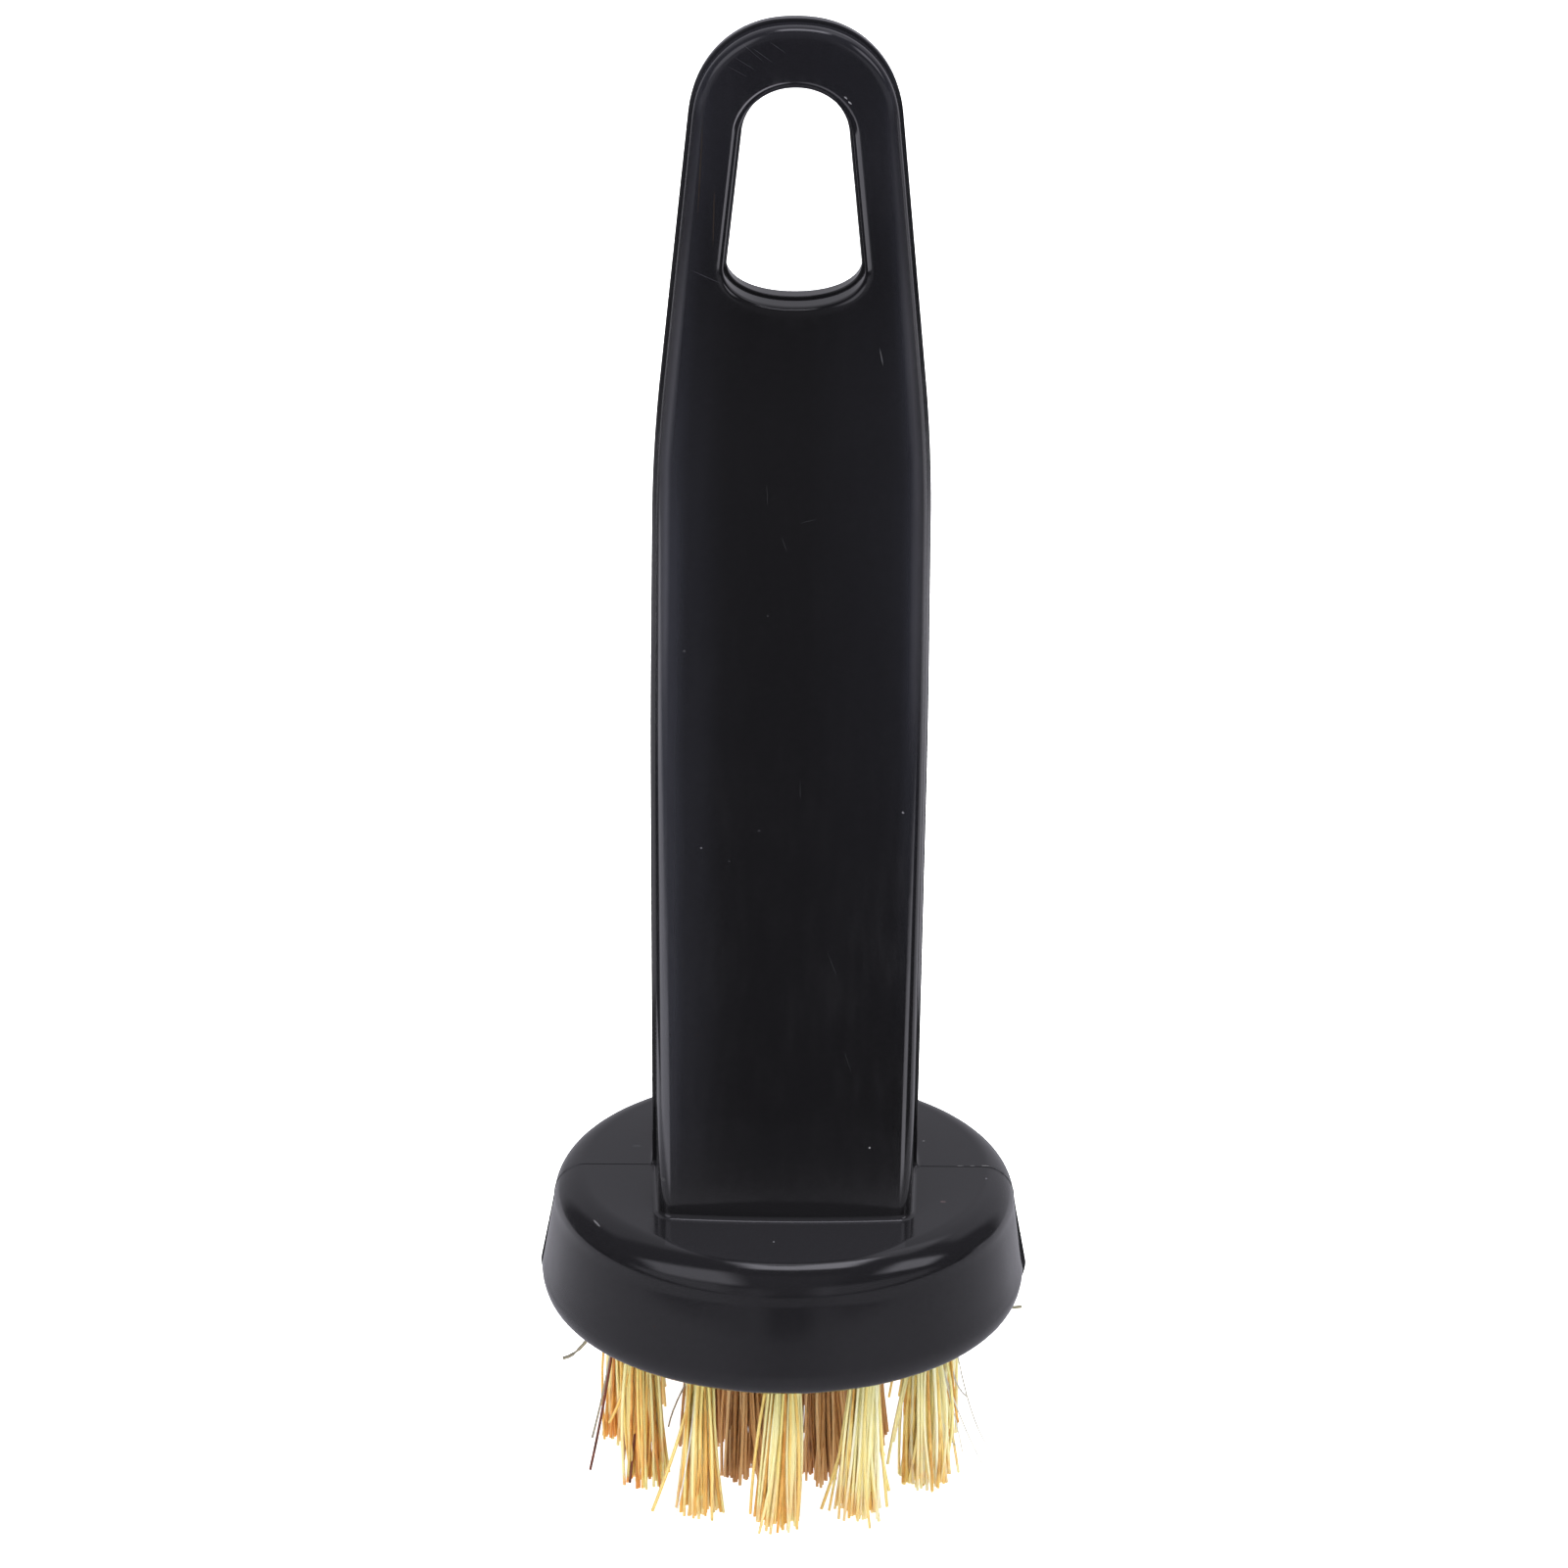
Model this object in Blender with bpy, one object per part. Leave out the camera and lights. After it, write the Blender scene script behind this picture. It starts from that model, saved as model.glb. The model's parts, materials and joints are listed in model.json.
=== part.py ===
"""Golf club brush: a flat moulded handle with a hanging slot, a round head in the same moulding,
and brass wire tufts, each folded round a flat steel anchor at the bottom of its hole in the head.

Metres, +Z up. The brush stands on its bristle tips at Z = 0, centred on the origin. The front is -Y.
"""

import math
import random

import bmesh
import bpy
from mathutils import Vector

# Handle: heights run up from the head's top face
HANDLE_HEIGHT = 0.1516
HANDLE_FOOT_WIDTH = 0.03445
HANDLE_BELLY_WIDTH = 0.0350
HANDLE_BELLY_HEIGHT = 0.062
HANDLE_SHOULDER_WIDTH = 0.0344
HANDLE_SHOULDER_HEIGHT = 0.098
HANDLE_END_WIDTH = 0.0259
HANDLE_END_ROUND = 0.0117
HANDLE_FOOT_THICKNESS = 0.0310
HANDLE_WAIST_THICKNESS = 0.0068
HANDLE_WAIST_HEIGHT = 0.117
HANDLE_END_THICKNESS = 0.0058
HANDLE_CROWN = 0.0007
HANDLE_FOOT_FILLET = 0.0006
FILLET_BITE = 0.00008
FACE_CUT_SNAP = 0.00001

# The handle's long edges: a drafted side, then a rounding onto the broad face
EDGE_ROUND_WIDTH_AT_FOOT = 0.0017
EDGE_ROUND_WIDTH_AT_END = 0.0013
EDGE_ROUND_DEPTH_AT_FOOT = 0.0024
EDGE_ROUND_DEPTH_AT_END = 0.0014

# The rear half of the moulding stands proud of the front half by these steps at the parting line
PARTING_STEP = 0.00045
HEAD_STEP_LEFT = 0.00015
HEAD_STEP_RIGHT = 0.00040

# Hanging slot, from the end of the handle down
LOOP_THICKNESS = 0.0083
SLOT_LENGTH = 0.0260
SLOT_TOP_WIDTH = 0.0129
SLOT_BOTTOM_WIDTH = 0.0163
SLOT_TOP_ARCH = 0.0054
SLOT_BOTTOM_ARCH = 0.0045
SLOT_ROUND_WIDTH = 0.0010
SLOT_ROUND_DEPTH = 0.0010
SLOT_STEP = 0.0003

# Head
HEAD_DIAMETER = 0.0637
HEAD_THICKNESS = 0.0170
HEAD_RIM_ROUND = 0.0042
HEAD_RIM_DEPTH = 0.0044
HEAD_SIDE_FLARE = 0.0018
HEAD_UNDERCUT_WIDTH = 0.0016
HEAD_UNDERCUT_DEPTH = 0.0032

# Tufts, their holes and their anchors
BRISTLE_LENGTH = 0.0236
TIP_TRIM = 0.0005
TIP_RAGGEDNESS = 0.0012
TUFT_HOLE_DIAMETER = 0.0048
TUFT_HOLE_DEPTH = 0.0110
TUFT_TIP_DIAMETER = 0.0076
TUFT_LEAN = 0.0011
TUFT_FOLD_THICKNESS = 0.0012
STRAND_ROOT_INSET = 0.00013
STRAND_TIP_SIDE = 0.00085
STRAND_WANDER = 0.00028
ANCHOR_THICKNESS = 0.0005
ANCHOR_HEIGHT = 0.0018

# Clearance round pieces that fit in one another, and the overrun of cuts and joins
FIT_GAP = 0.0003
OVERRUN = 0.0010

# Counts
OUTER_TUFTS = 12
INNER_TUFTS = 6
HEAD_SEGMENTS = 72
RIM_SEGMENTS = 6
UNDERCUT_SEGMENTS = 4
EDGE_ROUND_SEGMENTS = 5
SLOT_ROUND_SEGMENTS = 4
CORNER_SEGMENTS = 5
RUN_SEGMENTS = 16
FACE_COLUMNS = 6
END_ARC_SEGMENTS = 16
SLOT_ARC_SEGMENTS = 9
FILLET_SEGMENTS = 3
HOLE_SIDES = 24
LATTICE_RINGS = 2
SEED = 7

# Shares: how square the round ends are, how long blends are, where the rings lie and where strands bend
END_SQUARENESS_SHARE = 2.25
SLOT_SQUARENESS_SHARE = 2.1
BLEND_SHARE = 0.25
WAIST_BLEND_SHARE = 0.4
DRAFT_SHARE = 0.045
HANDLE_ROOT_SHARE = 0.35
OUTER_RING_SHARE = 0.66
INNER_RING_SHARE = 0.311
STRAND_BEND_SHARE = 0.45
STRAND_BEND_SPREAD_SHARE = 0.3

# Heights in the finished brush
HEAD_BOTTOM = BRISTLE_LENGTH
HEAD_TOP = HEAD_BOTTOM + HEAD_THICKNESS
HANDLE_ROOT = -HEAD_THICKNESS * HANDLE_ROOT_SHARE
END_START = HANDLE_HEIGHT - HANDLE_END_ROUND
SLOT_TOP = HANDLE_HEIGHT - LOOP_THICKNESS
SLOT_BOTTOM = SLOT_TOP - SLOT_LENGTH
OUTER_RING_RADIUS = HEAD_DIAMETER / 2 * OUTER_RING_SHARE
INNER_RING_RADIUS = HEAD_DIAMETER / 2 * INNER_RING_SHARE
TUFT_ROOT_RADIUS = TUFT_HOLE_DIAMETER / 2 - FIT_GAP
TUFT_TOP = HEAD_BOTTOM + TUFT_HOLE_DEPTH - FIT_GAP
ANCHOR_TOP = TUFT_TOP - TUFT_FOLD_THICKNESS

PLASTIC_COLOUR = (0.014, 0.014, 0.017, 1)
BRASS_COLOUR = (0.80, 0.58, 0.20, 1)
STEEL_COLOUR = (0.55, 0.55, 0.57, 1)


def clear_scene():
    for obj in list(bpy.data.objects):
        bpy.data.objects.remove(obj, do_unlink=True)


def material(name, colour, roughness, metallic):
    made = bpy.data.materials.new(name)
    made.use_nodes = True
    shader = made.node_tree.nodes["Principled BSDF"]
    shader.inputs["Base Color"].default_value = colour
    shader.inputs["Roughness"].default_value = roughness
    shader.inputs["Metallic"].default_value = metallic
    made.diffuse_color = colour
    return made


def object_from(name, bm, surface=None, crease_degrees=35):
    """A named object from a bmesh, faces turned outwards and round surfaces shaded smooth."""
    bmesh.ops.recalc_face_normals(bm, faces=bm.faces[:])
    mesh = bpy.data.meshes.new(name)
    bm.to_mesh(mesh)
    bm.free()
    mesh.shade_smooth()
    mesh.set_sharp_from_angle(angle=math.radians(crease_degrees))
    if surface:
        mesh.materials.append(surface)
    made = bpy.data.objects.new(name, mesh)
    bpy.context.scene.collection.objects.link(made)
    return made


def helper_from(name, bm):
    """A cutter or a shape to be joined, which isn't a piece of the brush."""
    made = object_from(name, bm)
    made.hide_render = True
    made.display_type = "WIRE"
    return made


def combine(target, other, operation):
    step = target.modifiers.new(f"{operation.lower()} {other.name}", "BOOLEAN")
    step.operation = operation
    step.object = other
    step.solver = "EXACT"


# Outlines in the XZ plane, at the parting plane


def rounded_track(corners, blend_share, corner_segments):
    """Points along straight runs between (height, half width) corners, inner corners blended by a curve."""
    track = [corners[0]]
    for before, corner, after in zip(corners, corners[1:], corners[2:]):
        reach = blend_share * min(corner[0] - before[0], after[0] - corner[0])
        start = toward(corner, before, reach / (corner[0] - before[0]))
        end = toward(corner, after, reach / (after[0] - corner[0]))
        for step in range(corner_segments + 1):
            t = step / corner_segments
            first = toward(start, corner, t)
            second = toward(corner, end, t)
            track.append(toward(first, second, t))
    track.append(corners[-1])
    return track


def divided(track, longest):
    """The track with its long runs cut into steps no longer than longest."""
    points = [track[0]]
    for start, end in zip(track, track[1:]):
        steps = math.ceil((end[0] - start[0]) / longest)
        points += [toward(start, end, step / steps) for step in range(1, steps + 1)]
    return points


def toward(a, b, share):
    return (a[0] + (b[0] - a[0]) * share, a[1] + (b[1] - a[1]) * share)


def line_at(low, high, height):
    """Half width at a height on the straight line through two (height, half width) points."""
    return low[1] + (high[1] - low[1]) * (height - low[0]) / (high[0] - low[0])


def arch(start, rise, low, high, squareness, segments):
    """Points from a straight side at height start round to the middle, which lies rise away from it."""
    points = []
    for step in range(1, segments + 1):
        turn = math.pi / 2 * step / segments
        height = start + rise * math.sin(turn) ** (2 / squareness)
        width = line_at(low, high, height) * max(0, math.cos(turn)) ** (2 / squareness)
        points.append((height, width if step < segments else 0))
    return points


def mirrored(side):
    """(x, z) points up one side, over the top and down the other; the middle point is there once."""
    right = [(width, height) for height, width in side]
    left = [(-width, height) for height, width in reversed(side[:-1])]
    return right + left


def handle_outline():
    """The handle's side view from the front, from its root in the head, round the end and back."""
    foot = (0, HANDLE_FOOT_WIDTH / 2)
    belly = (HANDLE_BELLY_HEIGHT, HANDLE_BELLY_WIDTH / 2)
    shoulder = (HANDLE_SHOULDER_HEIGHT, HANDLE_SHOULDER_WIDTH / 2)
    end = (END_START, HANDLE_END_WIDTH / 2)
    side = [(HANDLE_ROOT, HANDLE_FOOT_WIDTH / 2)]
    track = rounded_track([foot, belly, shoulder, end], BLEND_SHARE, CORNER_SEGMENTS)
    side += divided(track, HANDLE_HEIGHT / RUN_SEGMENTS)
    side += arch(END_START, HANDLE_END_ROUND, shoulder, end, END_SQUARENESS_SHARE, END_ARC_SEGMENTS)
    return mirrored(side)


def slot_outline():
    """The hanging slot's closed outline."""
    low = (SLOT_BOTTOM + SLOT_BOTTOM_ARCH, SLOT_BOTTOM_WIDTH / 2)
    high = (SLOT_TOP - SLOT_TOP_ARCH, SLOT_TOP_WIDTH / 2)
    top = arch(high[0], SLOT_TOP_ARCH, low, high, SLOT_SQUARENESS_SHARE, SLOT_ARC_SEGMENTS)
    bottom = arch(low[0], -SLOT_BOTTOM_ARCH, low, high, SLOT_SQUARENESS_SHARE, SLOT_ARC_SEGMENTS)
    side = list(reversed(bottom)) + [low, high] + top
    return mirrored(side)[:-1]


def shifted(points, distances, closed):
    """The outline, each point moved by its distance to the left of the direction of travel."""
    moved = []
    count = len(points)
    for index, ((x, z), distance) in enumerate(zip(points, distances)):
        before = points[index - 1] if closed or index else None
        after = points[(index + 1) % count] if closed or index + 1 < count else None
        if before is None or after is None:
            moved.append((x - distance if x > 0 else x + distance, z))
            continue
        incoming = Vector((x - before[0], z - before[1])).normalized()
        outgoing = Vector((after[0] - x, after[1] - z)).normalized()
        travel = (incoming + outgoing).normalized()
        stretch = 1 / max(math.sqrt(1 / 2), travel.dot(outgoing))
        moved.append((x - travel.y * distance * stretch, z + travel.x * distance * stretch))
    return moved


# The moulded handle


def half_thickness(z):
    """From the parting plane to the edge of the broad face: a wedge that levels off at the waist."""
    corners = [
        (HANDLE_ROOT, HANDLE_FOOT_THICKNESS / 2),
        (0, HANDLE_FOOT_THICKNESS / 2),
        (HANDLE_WAIST_HEIGHT, HANDLE_WAIST_THICKNESS / 2),
        (HANDLE_HEIGHT, HANDLE_END_THICKNESS / 2),
    ]
    track = corners[:1] + rounded_track(corners[1:], WAIST_BLEND_SHARE, CORNER_SEGMENTS)
    for low, high in zip(track, track[1:]):
        if z <= high[0]:
            break
    return line_at(low, high, z)


def along_handle(at_foot, at_end, z):
    return at_foot + (at_end - at_foot) * z / HANDLE_HEIGHT


def crowning(x):
    """How much further out the broad face lies at x than at its edges, as a share of its thickness."""
    reach = HANDLE_BELLY_WIDTH / 2 - PARTING_STEP - EDGE_ROUND_WIDTH_AT_FOOT
    return 1 + HANDLE_CROWN / (HANDLE_FOOT_THICKNESS / 2) * max(0, 1 - (x / reach) ** 2)


def face_depth(x, z, below=0):
    return (half_thickness(z) - below) * crowning(x)


def edge_round(z):
    """(width, depth) of the rounding along the handle's outer edge."""
    width = along_handle(EDGE_ROUND_WIDTH_AT_FOOT, EDGE_ROUND_WIDTH_AT_END, z)
    return width, along_handle(EDGE_ROUND_DEPTH_AT_FOOT, EDGE_ROUND_DEPTH_AT_END, z)


def slot_round(z):
    return SLOT_ROUND_WIDTH, SLOT_ROUND_DEPTH


def wall_stations(step, rounding, segments):
    """(inset at z, depth below the broad face at z) of each line along a wall, from its parting line."""
    stations = [(lambda z: step, None)]
    for index in range(segments + 1):
        turn = math.pi / 2 * index / segments
        across = 1 - math.cos(turn)
        below = 1 - math.sin(turn)

        def inset(z, across=across):
            width, depth = rounding(z)
            return step + DRAFT_SHARE * (half_thickness(z) - depth) + width * across

        def drop(z, below=below):
            return rounding(z)[1] * below

        stations.append((inset, drop))
    return stations


def wall_ring(bm, outline, station, facing, direction, closed):
    """One ring of vertices: the outline inset, each point at its own depth. facing is -1 front, +1 rear."""
    inset, drop = station
    distances = [direction * inset(z) for x, z in outline]
    ring = []
    for x, z in shifted(outline, distances, closed):
        y = facing * face_depth(x, z, drop(z)) if drop else 0
        ring.append(bm.verts.new((x, y, z)))
    return ring


def wall_rings(bm, outline, step, rounding, segments, direction, closed):
    """Rings of a wall from the rear face, over the parting step, to the front face."""
    rings = []
    for station in reversed(wall_stations(0, rounding, segments)):
        rings.append(wall_ring(bm, outline, station, 1, direction, closed))
    for station in wall_stations(step, rounding, segments):
        rings.append(wall_ring(bm, outline, station, -1, direction, closed))
    return rings


def skin(bm, rings, closed):
    """Faces between each ring and the next."""
    for first, second in zip(rings, rings[1:]):
        count = len(first)
        for index in range(count if closed else count - 1):
            after = (index + 1) % count
            bm.faces.new((first[index], first[after], second[after], second[index]))


def loop_edges(bm, ring):
    edges = []
    for index, vert in enumerate(ring):
        after = ring[(index + 1) % len(ring)]
        edges.append(bm.edges.get((vert, after)) or bm.edges.new((vert, after)))
    return edges


def crowned_face(bm, outer_ring, inner_ring, facing):
    """The broad face between the outer edge and the slot, cut into a grid that follows its curves."""
    rims = loop_edges(bm, outer_ring) + loop_edges(bm, inner_ring)
    filled = bmesh.ops.triangle_fill(bm, edges=rims, use_beauty=True)["geom"]
    faces = {item for item in filled if isinstance(item, bmesh.types.BMFace)}
    widest = max(vert.co.x for vert in outer_ring)
    cuts = []
    for column in range(1, FACE_COLUMNS):
        cuts.append(((widest * (2 * column / FACE_COLUMNS - 1), 0, 0), (1, 0, 0)))
    for row in range(1, RUN_SEGMENTS):
        cuts.append(((0, 0, HANDLE_HEIGHT * row / RUN_SEGMENTS), (0, 0, 1)))
    for place, normal in cuts:
        edges = {edge for face in faces for edge in face.edges}
        verts = {vert for face in faces for vert in face.verts}
        whole = list(faces) + list(edges) + list(verts)
        cut = bmesh.ops.bisect_plane(bm, geom=whole, dist=FACE_CUT_SNAP, plane_co=place, plane_no=normal)
        faces = {item for item in cut["geom"] if isinstance(item, bmesh.types.BMFace)}
    for vert in {vert for face in faces for vert in face.verts}:
        vert.co.y = facing * face_depth(vert.co.x, vert.co.z)


def handle_shape():
    """The handle with its slot: drafted, rounded walls between two crowned broad faces."""
    bm = bmesh.new()
    outer = wall_rings(bm, handle_outline(), PARTING_STEP, edge_round, EDGE_ROUND_SEGMENTS, 1, False)
    inner = wall_rings(bm, slot_outline(), SLOT_STEP, slot_round, SLOT_ROUND_SEGMENTS, -1, True)
    skin(bm, outer, False)
    skin(bm, inner, True)
    right_ends = [ring[0] for ring in outer]
    left_ends = [ring[-1] for ring in outer]
    bm.faces.new(right_ends + left_ends[::-1])
    crowned_face(bm, outer[0], inner[0], 1)
    crowned_face(bm, outer[-1], inner[-1], -1)
    bmesh.ops.translate(bm, verts=bm.verts[:], vec=(0, 0, HEAD_TOP))
    return bm


def foot_section(height, growth):
    """The handle's plan at a height above the head, grown outwards, as (x, y) points."""
    halves = []
    for facing, step in ((1, 0), (-1, PARTING_STEP)):
        side = []
        for inset, drop in wall_stations(step, edge_round, EDGE_ROUND_SEGMENTS):
            x = HANDLE_FOOT_WIDTH / 2 - inset(height)
            side.append((x, facing * face_depth(x, height, drop(height)) if drop else 0))
        halves.append(side)
    rear, front = halves
    right = list(reversed(rear)) + front
    left = [(-x, y) for x, y in reversed(right)]
    across = [1 - 2 * column / FACE_COLUMNS for column in range(1, FACE_COLUMNS)]
    front_face = [(x, -face_depth(x, height)) for x in (right[-1][0] * share for share in across)]
    rear_face = [(-x, face_depth(x, height)) for x in (right[0][0] * share for share in across)]
    section = right + front_face + left + rear_face
    return shifted(section, [growth] * len(section), True)


def foot_fillet_shape():
    """A small concave fillet between the handle and the top of the head."""
    bm = bmesh.new()
    levels = [(-OVERRUN, HANDLE_FOOT_FILLET)]
    for step in range(FILLET_SEGMENTS + 1):
        turn = math.pi / 2 * step / FILLET_SEGMENTS
        height = HANDLE_FOOT_FILLET * (1 - math.cos(turn))
        levels.append((height, HANDLE_FOOT_FILLET * (1 - math.sin(turn)) - FILLET_BITE))
    levels.append((HANDLE_FOOT_FILLET, -EDGE_ROUND_WIDTH_AT_FOOT / 2))
    rings = []
    for height, growth in levels:
        section = foot_section(max(0, height), growth)
        rings.append([bm.verts.new((x, y, HEAD_TOP + height)) for x, y in section])
    skin(bm, rings, True)
    bm.faces.new(rings[0])
    bm.faces.new(rings[-1])
    return bm


# The head


def head_profile():
    """(radius, height) points from the edge of the flat top, round the rim and down under the head."""
    widest = HEAD_DIAMETER / 2
    shoulder = widest - HEAD_SIDE_FLARE
    profile = []
    for step in range(RIM_SEGMENTS + 1):
        turn = math.pi / 2 * step / RIM_SEGMENTS
        radius = shoulder - HEAD_RIM_ROUND * (1 - math.sin(turn))
        profile.append((radius, HEAD_TOP - HEAD_RIM_DEPTH * (1 - math.cos(turn))))
    for step in range(UNDERCUT_SEGMENTS + 1):
        turn = math.pi / 2 * step / UNDERCUT_SEGMENTS
        radius = widest - HEAD_UNDERCUT_WIDTH * (1 - math.cos(turn))
        profile.append((radius, HEAD_BOTTOM + HEAD_UNDERCUT_DEPTH * (1 - math.sin(turn))))
    return profile


def head_shape():
    """The round head: one turned profile, with the front half drawn in sideways by its parting steps."""
    bm = bmesh.new()
    half = HEAD_SEGMENTS // 2
    rings = []
    for radius, height in head_profile():
        ring = []
        for facing, left, right in ((1, 0, 0), (-1, HEAD_STEP_LEFT, HEAD_STEP_RIGHT)):
            squeeze = 1 - (left + right) / (2 * radius)
            for index in range(half + 1):
                turn = math.pi * index / half
                x = facing * radius * math.cos(turn) * squeeze + (left - right) / 2
                y = facing * radius * math.sin(turn) if 0 < index < half else 0
                ring.append(bm.verts.new((x, y, height)))
        rings.append(ring)
    skin(bm, rings, True)
    bm.faces.new(rings[0])
    bm.faces.new(rings[-1])
    return bm


# Tufts


def tuft_places():
    """(name ending, x, y, direction) of each tuft, from the front round each ring."""
    places = []
    for ring, radius, count in (
        ("outer", OUTER_RING_RADIUS, OUTER_TUFTS),
        ("inner", INNER_RING_RADIUS, INNER_TUFTS),
    ):
        offset = 0 if ring == "outer" else math.pi / count
        for index in range(count):
            turn = 2 * math.pi * index / count + offset - math.pi / 2
            x = radius * math.cos(turn)
            y = radius * math.sin(turn)
            places.append((f"{ring}_{index + 1:02d}", x, y, turn))
    places.append(("centre", 0, 0, 0))
    return places


def prism(sides, radius, low, high, x=0, y=0):
    bm = bmesh.new()
    bmesh.ops.create_cone(
        bm, cap_ends=True, segments=sides, radius1=radius, radius2=radius, depth=high - low
    )
    bmesh.ops.translate(bm, verts=bm.verts[:], vec=(x, y, (low + high) / 2))
    return bm


def block(size, centre, turn):
    """A box of the given size, turned about Z, then moved to its centre."""
    bm = bmesh.new()
    bmesh.ops.create_cube(bm, size=1)
    bmesh.ops.scale(bm, verts=bm.verts[:], vec=size)
    for vert in bm.verts:
        x, y, z = vert.co
        vert.co.x = x * math.cos(turn) - y * math.sin(turn) + centre[0]
        vert.co.y = x * math.sin(turn) + y * math.cos(turn) + centre[1]
        vert.co.z = z + centre[2]
    return bm


def lattice_points():
    """Points of a hexagonal patch of a triangular lattice on a disc of radius 1, keyed by lattice place."""
    points = {}
    reach_in_steps = range(-LATTICE_RINGS, LATTICE_RINGS + 1)
    for a in reach_in_steps:
        for b in reach_in_steps:
            ring = max(abs(a), abs(b), abs(a + b))
            if ring > LATTICE_RINGS:
                continue
            x = a + b / 2
            y = b * math.sqrt(3) / 2
            reach = math.hypot(x, y)
            stretch = ring / LATTICE_RINGS / reach if reach else 0
            points[a, b] = (x * stretch, y * stretch)
    return points


def lattice_triangles(points):
    found = []
    for a, b in points:
        upright = ((a, b), (a + 1, b), (a, b + 1))
        inverted = ((a, b), (a + 1, b - 1), (a + 1, b))
        found += [corners for corners in (upright, inverted) if all(c in points for c in corners)]
    return found


def strand_sections(root, tuft, rng):
    """Corner triangles of one strand below its root triangle: a bend for the outer ones, then the tip."""
    middle = sum((Vector(corner) for corner in root), Vector((0, 0))) / 3
    share = middle.length / TUFT_ROOT_RADIUS
    spread = TUFT_TIP_DIAMETER / 2 - TUFT_ROOT_RADIUS
    lean = Vector((math.cos(tuft[3]), math.sin(tuft[3]))) * (TUFT_LEAN if tuft[0] != "centre" else 0)
    wander = Vector((rng.uniform(-1, 1), rng.uniform(-1, 1))) * STRAND_WANDER
    outward = middle.normalized() * spread * share
    tip = middle + outward + lean + wander
    side_now = (Vector(root[0]) - Vector(root[1])).length
    narrowing = STRAND_TIP_SIDE / side_now
    shape = [Vector(corner) - middle for corner in root]
    sections = []
    if middle.length > TUFT_ROOT_RADIUS / 2:
        bend = middle + (outward + lean + wander) * STRAND_BEND_SPREAD_SHARE
        height = HEAD_BOTTOM * (1 - STRAND_BEND_SHARE)
        sections.append([(*(bend + corner * (1 + narrowing) / 2), height) for corner in shape])
    height = max(0, rng.uniform(-TIP_TRIM, TIP_RAGGEDNESS))
    sections.append([(*(tip + corner * narrowing), height) for corner in shape])
    return sections


def tuft_shape(tuft, rng):
    """One tuft: the packed fold in its hole, and the strands that leave it, fused to it."""
    bm = bmesh.new()
    places = lattice_points()
    spot = {}
    for key, (x, y) in places.items():
        spot[key] = bm.verts.new((x * TUFT_ROOT_RADIUS, y * TUFT_ROOT_RADIUS, HEAD_BOTTOM))
    for corners in lattice_triangles(places):
        face = [spot[corner] for corner in corners]
        middle = sum((vert.co for vert in face), Vector()) / 3
        root = []
        for vert in face:
            arm = vert.co - middle
            inner = middle + arm * (1 - 2 * STRAND_ROOT_INSET / arm.length)
            root.append((inner.x, inner.y))
        upper = face
        sections = [[(x, y, HEAD_BOTTOM) for x, y in root]] + strand_sections(root, tuft, rng)
        for section in sections:
            lower = [bm.verts.new(corner) for corner in section]
            for index in range(3):
                after = (index + 1) % 3
                bm.faces.new((upper[index], upper[after], lower[after], lower[index]))
            upper = lower
        bm.faces.new(upper)
    rim = [spot[key] for key in sorted(outer_keys(places), key=lambda key: math.atan2(*places[key]))]
    top = [bm.verts.new((vert.co.x, vert.co.y, TUFT_TOP)) for vert in rim]
    skin(bm, [rim, top], True)
    bm.faces.new(top)
    bmesh.ops.translate(bm, verts=bm.verts[:], vec=(tuft[1], tuft[2], 0))
    return bm


def outer_keys(places):
    """The lattice places round the edge of the patch."""
    return [(a, b) for a, b in places if max(abs(a), abs(b), abs(a + b)) == LATTICE_RINGS]


def anchor_size():
    return (2 * TUFT_ROOT_RADIUS, ANCHOR_THICKNESS, ANCHOR_HEIGHT)


def anchor_centre(tuft):
    return (tuft[1], tuft[2], ANCHOR_TOP - ANCHOR_HEIGHT / 2)


def anchor_channel_shape(tuft):
    """The way through the fold that its anchor fills."""
    length, thickness, height = anchor_size()
    size = (length + 2 * OVERRUN, thickness + 2 * FIT_GAP, height + 2 * FIT_GAP)
    return block(size, anchor_centre(tuft), tuft[3])


def main():
    clear_scene()
    plastic = material("black_plastic", PLASTIC_COLOUR, 0.28, 0.0)
    brass = material("brass_wire", BRASS_COLOUR, 0.38, 1.0)
    steel = material("anchor_steel", STEEL_COLOUR, 0.45, 1.0)

    body = object_from("moulded_body", head_shape(), plastic)
    combine(body, helper_from("handle_form", handle_shape()), "UNION")
    combine(body, helper_from("foot_fillet_form", foot_fillet_shape()), "UNION")
    rng = random.Random(SEED)
    for tuft in tuft_places():
        name, x, y, turn = tuft
        mouth = HEAD_BOTTOM - OVERRUN
        hole = prism(HOLE_SIDES, TUFT_HOLE_DIAMETER / 2, mouth, HEAD_BOTTOM + TUFT_HOLE_DEPTH, x, y)
        combine(body, helper_from(f"hole_{name}", hole), "DIFFERENCE")
        wires = object_from(f"tuft_{name}", tuft_shape(tuft, rng), brass)
        combine(wires, helper_from(f"channel_{name}", anchor_channel_shape(tuft)), "DIFFERENCE")
        object_from(f"anchor_{name}", block(anchor_size(), anchor_centre(tuft), turn), steel)


main()
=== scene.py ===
"""Looks of the golf club brush: a glossy moulded body with its parting line, and tufts of single wires.

Metres, +Z up. The brush stands on its bristle tips at Z = 0, centred on the origin. The front is -Y.
"""

import json
import math
import random

import bmesh
import bpy
from mathutils import Matrix, Vector

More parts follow.
